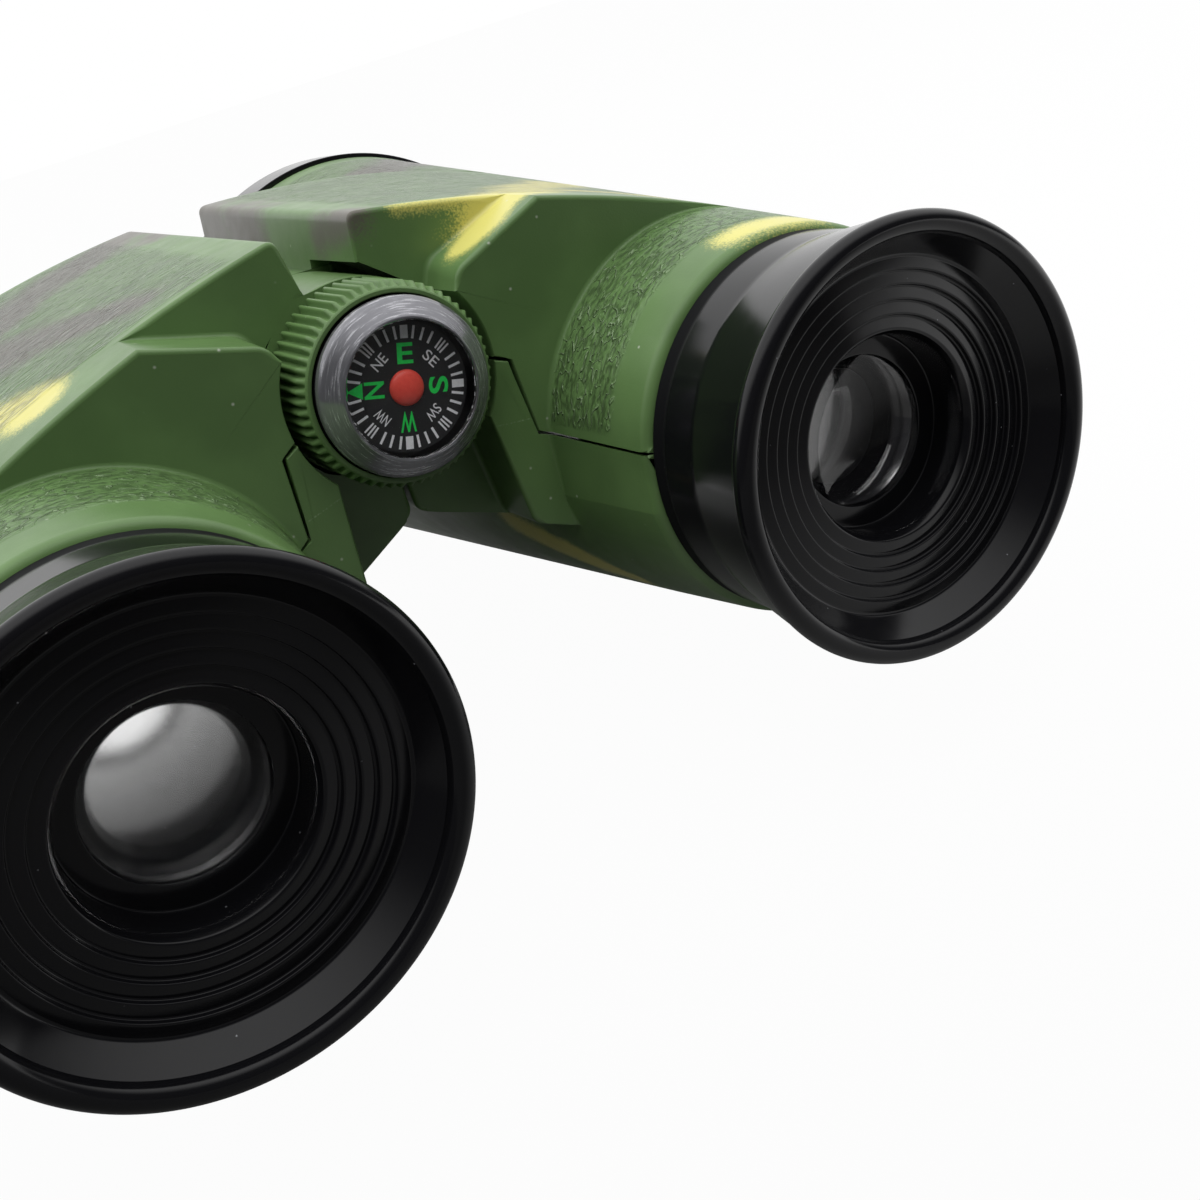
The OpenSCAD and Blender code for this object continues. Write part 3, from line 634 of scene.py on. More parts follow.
def camouflage(name, side, strokes):
    """Green paint, mottled, with sprayed strokes of yellow and brown and painted highlight lines, over a
    grain on
    the top panel and the collar: its ridges are pale, part wear and part painted highlight, and its pits
    carry painted shade. The bore of the barrel is glossy black."""
    material, tree, shader = new_finish(name, 0.45)
    place = flat_place(tree, side)
    axes = wire(tree, "SeparateXYZ", {0: place}).outputs
    colour = blend(tree, fade(tree, noise(tree, place, 0.12, 3.0), 0.35, 0.65), deep_green, leaf_green)
    for paint, start, end, width, softness in strokes:
        mask = place_group(tree, spray_and_highlight_stroke, {
            "Place": place, "From": start, "To": end, "Width": width, "Softness": softness})["Mask"]
        colour = blend(tree, mask, colour, paint)
    radius = from_axis(tree, sums(tree, "SUBTRACT", axes["X"], float(arm)), axes["Z"])
    slope = (barrel_r - collar_r) / (barrel_end - collar_end)
    skin_r = sums(tree, "MULTIPLY_ADD", axes["Y"], slope, float(barrel_at(0)))
    inside = fade(tree, sums(tree, "SUBTRACT", skin_r, radius), *bore_depth)
    off_step = sums(tree, "ABSOLUTE", sums(tree, "SUBTRACT", axes["Y"], float(block_front)))
    panel = times(tree, fade(tree, axes["Y"], *grain_rear), fade(tree, axes["X"], *grain_edge),
                  fade(tree, axes["Y"], *grain_front), fade(tree, off_step, *grain_step))
    collar = times(tree, fade(tree, axes["Y"], *collar_rear), fade(tree, axes["Y"], *collar_front))
    upper = fade(tree, axes["Z"], *above_seam)
    grained = times(tree, sums(tree, "MAXIMUM", panel, collar), upper)
    drawn = vectors(tree, "MULTIPLY", place, (0.5, 1.5, 0.6))
    streaks = place_group(tree, bark_grain, {"Place": drawn, "Coarseness": 0.95})["Height"]
    worms = place_group(tree, bark_grain, {"Place": place, "Coarseness": 1.15})["Height"]
    on_panel = fade(tree, axes["Y"], *grain_change)
    grain = sums(tree, "ADD", times(tree, streaks, on_panel),
                 times(tree, worms, sums(tree, "SUBTRACT", 1.0, on_panel)))
    # Ridges are paler, partly paint rubbed off and partly a painted highlight; pits are darker with painted
    # shade
    worn_and_highlit = times(tree, grained, fade(tree, grain, 0.7, 1.3))
    painted_pit_shade = times(tree, grained, fade(tree, grain, 0.40, 0.27))
    worn_and_highlit_share = sums(tree, "MULTIPLY_ADD", on_panel, -0.18, 0.4)
    colour = blend(tree, times(tree, worn_and_highlit, worn_and_highlit_share), colour, pale_green)
    colour = blend(tree, times(tree, painted_pit_shade, 0.55), colour, pit_shade_colour)
    colour = blend(tree, times(tree, dust_on(tree, place, 0.5, 0.095), 0.75), colour, dust_white)
    fine = times(tree, noise(tree, place, 6.0, 3.0), 0.05)
    height = times(tree, sums(tree, "ADD", times(tree, grain, grained), fine),
                   sums(tree, "SUBTRACT", 1.0, inside))
    wear = spread(tree, noise(tree, place, 0.5, 4.0), 0.24, 0.42)
    feed(shader, {
        "Base Color": blend(tree, inside, colour, bore_black),
        "Roughness": sums(tree, "SUBTRACT", wear, times(tree, inside, 0.24)),
        "Normal": relief(tree, height, 0.9, 0.00025),
        "Sheen Weight": times(tree, panel, upper, 0.35),
        "Sheen Roughness": 0.35})
    return material


# Strokes in each half's flat section, in millimetres: paint, start, end, width and softness. The hair-thin
# pale one is a painted highlight along a raised line on the rear face of the plate.
strokes = {
    "right": [
        (earth_brown, (-2.6, 36, 11), (-2.6, 54, 12.5), 3.4, 3.0),
        (earth_brown, (-2.6, 9, 12.6), (-2.6, 17, 10.5), 1.5, 1.6),
        (earth_brown, (16, 62, 20), (34, 80, 26), 4.5, 2.5),
        (earth_brown, (44, 20, 12), (54, 44, 2), 4.5, 2.5),
        (earth_brown, (26, 60, -24), (38, 34, -20), 4.0, 2.5),
        (straw_yellow, (6.6, 6.2, 11.4), (10.6, 6.8, 16.0), 1.9, 1.1),
        (straw_yellow, (1.5, 8.2, 14.0), (12.5, 8.8, 16.6), 0.5, 0.8),
        (straw_yellow, (9.5, 8.4, 15.0), (12.5, 9.0, 16.6), 1.2, 2.6),
        (straw_yellow, (12.0, 9.5, 16.8), (29.0, 33, 20.6), 2.6, 2.2),
        (straw_yellow, (20.0, 14, 18.4), (33.0, 11, 18.4), 1.7, 2.0),
        (straw_yellow, (23.0, -7.8, 13.8), (29.5, -8.2, 16.4), 1.4, 1.3),
        (straw_yellow, (17.5, 16, -13.6), (24.5, 3.0, -16.0), 1.6, 1.0),
        (straw_yellow, (50, 4, 4), (56, 26, -6), 2.6, 1.6),
        # Painted highlight along a raised line on the plate's rear face
        (pale_green, (8.45, 2.6, -3.16), (12.3, 2.6, -2.17), 0.07, 0.05),
    ],
    "left": [
        (earth_brown, (7.0, 15.0, 16.2), (14.5, 26.5, 18.2), 2.1, 1.6),
        (earth_brown, (14.5, 26.5, 18.2), (26, 34, 20), 3.6, 2.2),
        (earth_brown, (1.0, 50, 16.0), (17, 41, 19), 4.6, 2.8),
        (earth_brown, (-2.5, 40, 12), (-2.5, 54, 13), 3.0, 2.0),
        (earth_brown, (40, 52, 20), (52, 70, 8), 4.5, 2.5),
        (earth_brown, (20, 40, -18), (34, 64, -24), 4.0, 2.5),
        (straw_yellow, (18.6, 8.8, 16.9), (23.5, 19, 18.6), 2.2, 1.5),
        (straw_yellow, (46, 2, 8), (54, 18, -2), 2.4, 1.6),
        (straw_yellow, (24, 60, 23), (40, 74, 24), 2.4, 1.6),
        (straw_yellow, (16, 20, -13), (26, 6, -17), 1.8, 1.2),
        # Painted highlight along a raised line on the plate's rear face
        (pale_green, (8.45, 2.6, -3.16), (12.3, 2.6, -2.17), 0.07, 0.05),
    ],
}


def knuckle_zones(side):
    """Zones of the block along the hinge: this side's knuckles and the rooms for the other side's. A knuckle
    ends half a gap short of a cut between two, and a room half a gap past it."""
    first = 0 if side < 0 else 1
    zones, rear = [], step_face
    for i in range(knuckles):
        own = i % 2 == first
        play = knuckle_gap / 2 if i < knuckles - 1 else 0
        front = step_face + knuckle_pitch * (i + 1) + (-play if own else play)
        zones.append(("knuckle" if own else "room", rear, front))
        rear = front
    return zones


def edge_radii(runs):
    """Rounding of the block's faces at each point of an outline: fine as far as the hinge bore, growing up
    the wall to that of the outer edges, and none on the barrel."""
    counts = list(runs.values())
    return np.concatenate([
        np.full(face_run + sum(counts[:3]), part_round), np.linspace(part_round, face_round, counts[3]),
        np.full(sum(counts[4:-1]), face_round), np.zeros(counts[-1] + rim_run + barrel_run)])


def end_radii(runs):
    """Rounding of a shell's two ends: full outside, fine on the parting faces and in the barrel's bore."""
    counts = [face_run, sum(runs.values()), rim_run + barrel_run]
    return np.repeat([part_round, end_round, part_round], counts)


for side_name, side in SIDES.items():
    finish = camouflage(f"{side_name}_camouflage", side, strokes[side_name])
    zones = [("barrel", collar_end, rear_face), ("plate", rear_face, step_face), *knuckle_zones(side),
             ("barrel", block_front, barrel_end)]
    for part, outline, turn, runs in (("upper", upper_outline, 1, upper_runs),
                                      ("lower", lower_outline, -1, lower_runs)):
        rows = shell_rows(outline, turn, zones, edge_radii(runs), end_radii(runs))
        make_piece(f"{side_name}_{part}_moulding", folded(rows.reshape(-1, 3), side),
                   skin(*rows.shape[:2], capped=True), finish, f"{side_name}_half", "body_green",
                   f"{side_name}_{part}_shell")

# Seam tongues: thin ribs moulded inside the walls of each lower shell lap behind the parting line on the
# outer side and in front of the block, so that no light falls into the barrel there.
tongue = {"in": 0.25, "wide": 0.9, "laps": [-0.2, 0.02], "rows": 60, "rear": 1.2, "ahead": 0.3, "short": 7}


def tongue_section(y, outer):
    """Four corners of a tongue at station y: the two parting faces, between two radii in the wall."""
    radii = np.array([0, tongue["wide"], tongue["wide"], 0]) + barrel_bore(y) + tongue["in"]
    gaps, laps = np.array([0, 0, part_gap, part_gap]), np.repeat(tongue["laps"], 2)
    if outer:
        return np.stack([arm + radii, np.full(4, y), gaps - part_drop + laps], -1)
    hits = np.array([part_hit(radius, gap) for radius, gap in zip(radii, gaps)])
    return np.stack([hits[:, 0], np.full(4, y), hits[:, 1] + laps], -1)


def gather(shapes):
    """Several shapes, each (points, faces), as one."""
    counts = np.cumsum([0] + [len(points) for points, _ in shapes])
    faces = [[i + start for i in face] for start, (_, own) in zip(counts, shapes) for face in own]
    return np.vstack([points for points, _ in shapes]), faces


for side_name, side in SIDES.items():
    ribs = []
    for rear, outer in ((collar_end + tongue["rear"], True), (block_front + tongue["ahead"], False)):
        along = np.linspace(rear, barrel_end - tongue["short"], tongue["rows"])
        rows = np.array([tongue_section(y, outer) for y in along])
        ribs.append((rows.reshape(-1, 3), skin(*rows.shape[:2], capped=True)))
    points, faces = gather(ribs)
    make_piece(f"{side_name}_seam_tongue", folded(points, side), faces,
               bpy.data.materials[f"{side_name}_camouflage"], f"{side_name}_half", "body_green",
               f"{side_name}_lower_shell")

# Shell screws: two steel self-tapping screws a side hold the shells together from below. Their pan heads have
# a cross recess and lie in round sinks in the web, turned down in the folded position.
screw = {"r": 1.2, "head_r": 2.3, "head": 1.6, "length": 13, "sink": 0.8, "play": 0.1, "slot": 0.32,
         "reach": 1.35, "recess": 0.8, "dome": 0.5, "point": 2.0, "thread": 0.1}
screw_columns, head_rows, shank_rows = 96, 26, 140
sink_columns = 48
screw_x = recess_r + 2.5
screw_places = [(screw_x, step_face + 9), (screw_x, block_front - 17)]
zinc_steel, tree, shader = new_finish("zinc_steel", 0.3)
tarnish = noise(tree, wire(tree, "TexCoord").outputs["Object"], 900.0, 4.0)
feed(shader, {
    "Metallic": 1,
    "Base Color": blend(tree, tarnish, (0.36, 0.36, 0.37), (0.66, 0.66, 0.64)),
    "Roughness": spread(tree, tarnish, 0.22, 0.45)})


def screw_skin():
    """A screw about the z axis, head down: a dome with a cross cut in where the point lies near either of two
    crossed lines, then the head's side, its seat, the shank with its thread as a wave, and the point."""
    turn = np.linspace(0, 2 * math.pi, screw_columns, endpoint=False)
    tip = screw["head"] + screw["length"]
    r = np.linspace(0.02, screw["head_r"], head_rows)[:, None]
    dome = screw["dome"] * (r / screw["head_r"]) ** 2.2
    near = np.minimum(np.abs(r * np.cos(turn)), np.abs(r * np.sin(turn)))
    cut = np.clip((screw["slot"] - near) / 0.1, 0, 1) * np.clip((screw["reach"] - r) / 0.2, 0, 1)
    z = np.linspace(screw["head"], tip, shank_rows)[:, None]
    taper = np.clip((tip - z) / screw["point"], 0.03, 1)
    wave = 1 - screw["thread"] + screw["thread"] * np.cos(2 * math.pi * z - turn)
    seat = np.ones((1, screw_columns))
    radius = np.concatenate([r + 0 * turn, screw["head_r"] * seat, screw["r"] * taper * wave])
    height = np.concatenate([dome + screw["recess"] * cut, screw["head"] * seat, z + 0 * turn])
    rows = np.stack([radius * np.cos(turn), radius * np.sin(turn), height], -1)
    return rows.reshape(-1, 3), skin(*rows.shape[:2], capped=True)


screw_points, screw_faces = screw_skin()
for side_name, side in SIDES.items():
    sunk = bpy.data.objects[f"{side_name}_lower_moulding"]
    for number, (x, y) in enumerate(screw_places):
        seat = np.array([x, y, -web_drop])
        angle = np.linspace(0, 2 * math.pi, sink_columns, endpoint=False)
        circle = np.stack([np.cos(angle), np.sin(angle), 0 * angle], -1) * (screw["head_r"] + screw["play"])
        hole = np.concatenate([circle - [0, 0, 1], circle + [0, 0, screw["sink"] + screw["head"]]]) + seat
        hole_faces = skin(2, sink_columns, capped=True)
        cutter = new_object("sink", closed_mesh("sink", folded(hole, side), hole_faces))
        cut = sunk.modifiers.new("sink", "BOOLEAN")
        cut.object, cut.operation, cut.solver = cutter, "DIFFERENCE", "EXACT"
        sunk.modifiers.move(len(sunk.modifiers) - 1, 0)
        bpy.context.view_layer.objects.active = sunk
        bpy.ops.object.modifier_apply(modifier="sink")
        bpy.data.objects.remove(cutter)
        lifted = screw_points + seat + [0, 0, screw["sink"] - screw["play"]]
        make_piece(f"{side_name}_screw_{number + 1}", folded(lifted, side), screw_faces, zinc_steel,
                   f"{side_name}_half", "screw_steel", f"{side_name}_shell_screws")

# Hinge: a steel pin runs through the knob and the knuckles, held in front by a friction washer and a nut. A
# green cap is pressed over them on the front knuckle.
cap = {"inner_r": 3.9, "back": 55.4, "front": 60.7, "crown": 59.3, "round": 1.4, "bevel": 0.2, "inset": 0.02}


def refinish(material, *nodes):
    """Gives CAD nodes whose shape is right a better material."""
    for node in nodes:
        slots = frame["nodes"][node].data.materials
        slots.clear()
        slots.append(material)


refinish(zinc_steel, "hinge_pin", "friction_washer", "hinge_nut")


def green_plastic(name, low, high):
    """Dyed green plastic, mottled and lightly dusty, with its sheen between two roughnesses."""
    material, tree, shader = new_finish(name, low)
    place = flat_place(tree)
    mottle = noise(tree, place, 0.5, 3.0)
    colour = blend(tree, mottle, deep_green, leaf_green)
    fine = noise(tree, place, 6.0, 3.0)
    feed(shader, {
        "Base Color": blend(tree, times(tree, dust_on(tree, place, 0.8, 0.07), 0.6), colour, dust_white),
        "Roughness": spread(tree, mottle, low, high),
        "Normal": relief(tree, fine, 0.2, 0.00005)})
    return material


def softened(corners, count=5):
    """A closed profile from corners of (radius, station, rounding), each rounded by a short parabola."""
    points = np.array([corner[:2] for corner in corners], float)
    bends = []
    for before, point, after, corner in zip(np.roll(points, 1, 0), points, np.roll(points, -1, 0), corners):
        if corner[2]:
            bends += [rounded(before, point, after, corner[2], count), short_of(point, after, corner[2])]
        else:
            bends.append(point)
    return np.vstack(bends)


def turned(profile, count, ring=True):
    """A profile of radius and station carried round the y axis, and its quads. A ring's profile is closed."""
    angle = np.linspace(0, 2 * math.pi, count, endpoint=False)
    radius, y = np.asarray(profile)[:, :1], np.asarray(profile)[:, 1:]
    points = np.stack([radius * np.cos(angle), y + 0 * angle, radius * np.sin(angle)], -1)
    return points.reshape(-1, 3), skin(len(profile), count, ring)


bend = np.linspace(0, math.pi / 2, 14)
cap_edge = np.stack([knuckle_r - cap["round"] * (1 - np.cos(bend)),
                     cap["crown"] + cap["round"] * np.sin(bend) - cap["inset"]], -1)
cap_profile = np.vstack([
    [[0, cap["crown"]], [cap["inner_r"], cap["crown"]], [cap["inner_r"], cap["back"]]],
    [[knuckle_r - cap["bevel"], cap["back"]], [knuckle_r, cap["back"] + cap["bevel"]]],
    cap_edge, [[0, cap["front"] - cap["inset"]]]])
make_piece("front_cap", *turned(cap_profile, 128, ring=False), green_plastic("green_cap", 0.32, 0.48),
           "right_half", "body_green", "hinge_cap")

# Objective rings: a glossy black hood is pressed into each barrel's front end. It holds a bulging clear lens
# against its lip from behind, and a plain black retainer keeps the lens there.
black_gloss, tree, shader = new_finish("black_gloss", 0.1)
place = flat_place(tree)
polish = spread(tree, noise(tree, place, 0.35, 4.0), 0.08, 0.22)
# Inside the eyepieces, in front of their lenses, the black is duller
dull_rear, dull_front = (-12.2, -11.6), (20.0, 19.0)
depth = wire(tree, "SeparateXYZ", {0: place}).outputs["Y"]
inside = times(tree, fade(tree, depth, *dull_rear), fade(tree, depth, *dull_front))
feed(shader, {
    "Base Color": blend(tree, dust_on(tree, place, 0.6, 0.055), (0.005, 0.005, 0.006), (0.35, 0.36, 0.38)),
    "Roughness": sums(tree, "ADD", polish, times(tree, inside, 0.5)),
    "Specular IOR Level": sums(tree, "MULTIPLY_ADD", inside, -0.4, 0.5)})


def clear_plastic(name, roughness, index):
    """Clear plastic with a refractive index. Lamps and soft light pass through it, so that what lies behind
    it is lit."""
    material, tree, shader = new_finish(name, roughness, (1, 1, 1))
    feed(shader, {"Transmission Weight": 1, "IOR": index})
    path = wire(tree, "LightPath").outputs
    passing = sums(tree, "MAXIMUM", path["Is Shadow Ray"], path["Is Diffuse Ray"])
    clear = wire(tree, "BsdfTransparent").outputs[0]
    cover = wire(tree, "MixShader", {0: passing, 1: shader.outputs[0], 2: clear})
    feed(tree.nodes["Material Output"], {"Surface": cover.outputs[0]})
    return material, tree, shader


acrylic_index = 1.49
clear_lens, tree, shader = clear_plastic("clear_lens", 0.02, acrylic_index)
feed(shader, {"Roughness": spread(tree, noise(tree, flat_place(tree), 0.5, 5.0), 0.0, 0.06)})
hood_low, hood_high = node_box("right_objective_ring")
ring_r = (hood_high - hood_low)[0] / 2
hood = {"back": barrel_end + 0.1, "front": hood_high[1], "mouth_r": ring_r - 1.6, "lip_r": 19.94,
        "lip_back": 88.6, "lip_front": 89.2, "bore_r": 21.09, "spigot_r": 23.04, "spigot_back": 81.9}
objective = {"r": 21.04, "flat": 86.3, "seat": 88.5, "face_r": 19.89, "curve": 62}


def barrel_piece(side_name, name, profile, count, ring, material, slot, node):
    """A piece turned from a profile about the axis of a side's barrel."""
    points, faces = turned(profile, count, ring)
    make_piece(f"{side_name}_{name}", folded(points + [arm, 0, 0], SIDES[side_name]), faces, material,
               f"{side_name}_half", slot, f"{side_name}_{node}")


def lens_profile(lens, count=24):
    """Half section of a lens: a spherical face that rises forward from its edge at the seat to the axis, the
    rim and the flat side."""
    r = lens["face_r"] * np.sin(np.linspace(0, math.pi / 2, count))
    centre = lens["seat"] - math.sqrt(lens["curve"] ** 2 - lens["face_r"] ** 2)
    face = np.stack([r, centre + np.sqrt(lens["curve"] ** 2 - r ** 2)], -1)
    return np.vstack([face, [[lens["r"], lens["seat"]], [lens["r"], lens["flat"]], [0, lens["flat"]]]])


hood_profile = softened([
    (ring_r, hood["back"], 0.2), (ring_r, hood["front"], 0.6), (hood["mouth_r"], hood["front"], 0.4),
    (hood["bore_r"], hood["lip_front"], 0.2), (hood["lip_r"], hood["lip_front"], 0.15),
    (hood["lip_r"], hood["lip_back"], 0), (hood["bore_r"], hood["lip_back"], 0),
    (hood["bore_r"], hood["spigot_back"], 0), (hood["spigot_r"], hood["spigot_back"], 0),
    (hood["spigot_r"], hood["back"], 0)])
for side_name in SIDES:
    barrel_piece(side_name, "hood", hood_profile, 192, True, black_gloss, "gloss_black", "objective_ring")
    barrel_piece(side_name, "front_glass", lens_profile(objective), 128, False, clear_lens, "lens_clear",
                 "objective_lens")
    refinish(black_gloss, f"{side_name}_objective_retainer")

# Eyepieces: each is one glossy black moulding pushed into the collar, with a straight tube, a flared cup with
# a rolled bead, five ring steps round a throat, and a lip. A small hollow lens sits behind the lip.
cup = {"tube_r": 15.45, "tube_front": -10.3, "flare": -15.6, "bead_r": 16.0, "bead": -22.88, "roll": 0.9,
       "dish_r": 13.65, "dish": -20.7, "steps": 5, "drop": 0.25, "lip": 0.25, "steps_r": 8.1, "throat_r": 7.7,
       "throat": -19.3, "floor": -16.3, "eye_r": 5.95, "eye_front": -15.7, "seat_r": 6.55,
       "seat_front": -11.9}
spigot = {"bore_r": 12.3, "neck_r": 14.0, "end_r": 14.93, "end": 0.85, "front": 2.2}
eye_glass = {"r": 6.5, "seat": -15.6, "flat": -13.6, "face_r": 5.9, "curve": 13}

hazy_lens, tree, shader = clear_plastic("hazy_lens", 0.1, acrylic_index)
place = flat_place(tree)
film = spread(tree, noise(tree, place, 1.1, 2.0), 0.16, 0.28)
feed(shader, {"Roughness": sums(tree, "ADD", film, times(tree, dust_on(tree, place, 1.1, 0.05), 0.2))})

bead_turn = np.radians(np.linspace(35, -195, 28))
bead_profile = [cup["bead_r"], cup["bead"]] + cup["roll"] * heading(bead_turn)
step_edges = np.linspace(cup["dish_r"], cup["steps_r"], cup["steps"] + 1)
step_corners = [(step_edges[i + j], cup["dish"] + i * cup["drop"] - j * cup["lip"], 0.2)
                for i in range(cup["steps"]) for j in (0, 1)]
cup_profile = softened([
    (cup["tube_r"], cup["tube_front"], 0.15), (cup["tube_r"], cup["flare"], 0.4),
    *[(r, y, 0) for r, y in bead_profile], *step_corners, (cup["throat_r"], cup["throat"], 0.2),
    (cup["throat_r"], cup["floor"], 0.15), (cup["eye_r"], cup["floor"], 0.12),
    (cup["eye_r"], cup["eye_front"], 0), (cup["seat_r"], cup["eye_front"], 0),
    (cup["seat_r"], cup["seat_front"], 0), (spigot["bore_r"], spigot["end"], 0),
    (spigot["bore_r"], spigot["front"], 0), (spigot["end_r"], spigot["front"], 0),
    (spigot["end_r"], spigot["end"], 0), (spigot["neck_r"], spigot["end"], 0),
    (spigot["neck_r"], cup["tube_front"], 0)])
for side_name, lens_finish in (("left", hazy_lens), ("right", clear_lens)):
    barrel_piece(side_name, "eye_cup", cup_profile, 256, True, black_gloss, "gloss_black", "eyepiece")
    barrel_piece(side_name, "eye_glass", lens_profile(eye_glass), 96, False, lens_finish, "lens_clear",
                 "eye_lens")
    refinish(black_gloss, f"{side_name}_eye_retainer")

# Focus knob: a green wheel between the halves, free on the hinge pin behind its head. Sixty rounded ribs run
# out on the slope at its rear edge, and a round nest holds the compass.
knob = {"rear": 0.85, "front": 8.2, "slope": 1.0, "rear_r": 7.5, "r": 8.1, "nest_r": 7.1, "floor": 4.95,
        "bore": 2.05, "ribs": 60, "depth": 0.5, "bevel": 0.3, "plain": 0.2}
shoulder = [knob["r"], knob["rear"] + knob["slope"]]
front_edge = [knob["r"], knob["front"] - knob["bevel"]]
knob_profile = np.vstack([
    softened([
        (knob["bore"], knob["front"], 0), (knob["bore"], knob["floor"], 0),
        (knob["nest_r"], knob["floor"], 0), (knob["nest_r"], knob["rear"], 0.1),
        (knob["rear_r"], knob["rear"], 0.1)])[:-1],
    line([knob["rear_r"] + 0.05, knob["rear"] + 0.12], shoulder, 14), line(shoulder, front_edge, 8),
    [front_edge, [knob["r"] - knob["bevel"], knob["front"]]]])
points, faces = turned(knob_profile, knob["ribs"] * 12)
turn = np.arctan2(points[:, 2], points[:, 0])
reach = np.hypot(points[:, 0], points[:, 2])
runs_out = np.clip((points[:, 1] - knob["rear"] - knob["plain"]) / (knob["slope"] - knob["plain"]), 0, 1)
outer_face = reach > knob["rear_r"] + 0.01
groove = (0.5 - 0.5 * np.cos(knob["ribs"] * turn)) ** 1.6 * knob["depth"] * np.sqrt(runs_out) * outer_face
points[:, [0, 2]] *= (1 - groove / reach)[:, None]
make_piece("ribbed_knob", points, faces, green_plastic("green_knob", 0.34, 0.5), "knob", "knob_green",
           "focus_knob")

# Compass: a button compass pressed into the knob. Its clear window and bevelled, scuffed rim close a black
# cup, in which a printed black card turns on a pivot under a red dome.
case = {"r": 7.0, "rim": 0.55, "window_r": 5.45, "rise": 1.5, "wall": 0.6, "bore": 6.1, "bevel": 0.25,
        "bevel_rise": 0.35}
glass_r, rim_inner_r = case["window_r"] - 0.2, case["window_r"] - 0.15
case_top, case_ceiling = -case["rise"], case["wall"] - case["rise"]
window_index = 1.3
clear_window, tree, shader = clear_plastic("clear_window", 0.02, window_index)
feed(shader, {"Roughness": spread(tree, noise(tree, flat_place(tree), 1.2, 4.0), 0.0, 0.03)})
window_profile = softened([
    (0, case_top, 0), (glass_r, case_top, 0.1), (glass_r, case_ceiling, 0.05), (0, case_ceiling, 0)])
make_piece("compass_window", *turned(window_profile, 128, ring=False), clear_window, "knob", "compass_clear",
           "compass_case")

# Fine scratches: noise drawn out along one direction and kept where it peaks
rub_marks, given, out = effect_group("rub_marks", [
    ("Place", "Vector", (0, 0, 0)), ("Stretch", "Vector", (1, 1, 1)), ("Share", "Float", 0.6)],
    [("Mask", "Float")])
drawn = vectors(rub_marks, "MULTIPLY", given["Place"], given["Stretch"])
peaks = noise(rub_marks, drawn, 1.0, 5.0, Roughness=0.65)
full = sums(rub_marks, "ADD", given["Share"], 0.12)
feed(out, {"Mask": fade(rub_marks, peaks, given["Share"], full)})

bright_rim, tree, shader = new_finish("bright_rim", 0.2)
axes = wire(tree, "SeparateXYZ", {0: flat_place(tree)}).outputs
turn = sums(tree, "ARCTAN2", axes["Z"], axes["X"])
round_place = wire(tree, "CombineXYZ", {
    0: sums(tree, "COSINE", turn), 1: sums(tree, "SINE", turn), 2: from_axis(tree, axes["X"], axes["Z"])})
marks = place_group(tree, rub_marks, {
    "Place": round_place.outputs[0], "Stretch": (2.2, 2.2, 7.0), "Share": 0.5})["Mask"]
feed(shader, {
    "Metallic": 0.7,
    "Base Color": blend(tree, marks, (0.26, 0.26, 0.28), (0.52, 0.52, 0.55)),
    "Roughness": spread(tree, marks, 0.12, 0.28),
    "Normal": relief(tree, marks, 0.15, 0.00004)})
rim_profile = softened([
    (case["window_r"], case_top, 0.12), (case["r"] - case["bevel"], -case["bevel_rise"], 0.15),
    (case["r"], 0, 0.15), (case["r"], case["rim"], 0.08), (case["bore"], case["rim"], 0.05),
    (case["bore"], 0, 0.05), (rim_inner_r, case_ceiling, 0.05), (rim_inner_r, case_top, 0.05)])
make_piece("compass_rim", *turned(rim_profile, 192), bright_rim, "knob", "compass_clear", "compass_case")


def flecked(name, roughness, scale, detail, dark, pale):
    """A finish with a colour that noise mixes from two; its tree, shader and noise come with it."""
    material, tree, shader = new_finish(name, roughness)
    fleck = noise(tree, flat_place(tree), scale, detail)
    feed(shader, {"Base Color": blend(tree, fleck, dark, pale)})
    return material, tree, shader, fleck


matt_black, tree, shader, grit = flecked("matt_black", 0.6, 3.0, 4.0, (0.006, 0.006, 0.007),
                                         (0.016, 0.016, 0.017))
feed(shader, {"Roughness": spread(tree, grit, 0.5, 0.75)})
red_dome = flecked("red_dome", 0.35, 2.5, 4.0, (0.80, 0.05, 0.04), (0.95, 0.12, 0.08))[0]
refinish(matt_black, "compass_base", "compass_card")
refinish(zinc_steel, "compass_pivot")
dome_r, dome_h = 1.4, 0.55
dome_turn = np.linspace(0, math.pi / 2, 20)
dome_profile = np.vstack([np.stack([dome_r * np.sin(dome_turn), -dome_h * np.cos(dome_turn)], -1), [[0, 0]]])
make_piece("card_dome", *turned(dome_profile, 64, ring=False), red_dome, "card", "cap_red", "card_cap")

# Print of the card: white ticks and small letters, bold green letters and a green pointer, a thin film of ink
ink = {"lift": 0.015, "outer": 4.75, "inner": 3.75, "east": 72.5, "tick": 0.2, "fine": 0.15, "bold": 0.62}
big_letter = {"height": 1.6, "width": 1.3, "weight": 0.02}
small_letter = {"height": 0.84, "width": 1.3, "weight": 0.006}
big_reach, small_reach, pointer_reach = 2.62, 2.95, 4.15
pointer = np.array([[-0.62, -0.6], [0.62, -0.6], [0, 0.65]])
white_ink = flecked("white_ink", 0.6, 5.0, 3.0, (0.78, 0.79, 0.81), (0.95, 0.95, 0.97))[0]
green_ink = flecked("green_ink", 0.6, 5.0, 3.0, (0.004, 0.60, 0.07), (0.02, 0.86, 0.13))[0]


def on_card(flat, degrees, reach):
    """Flat points, x right and y up, moved out by the reach and turned so that up looks away from the
    centre."""
    out = heading(math.radians(degrees))
    spot = flat[:, :1] * [out[1], -out[0]] + (flat[:, 1:2] + reach) * out
    return np.stack([spot[:, 0], np.full(len(spot), -ink["lift"]), spot[:, 1]], -1)


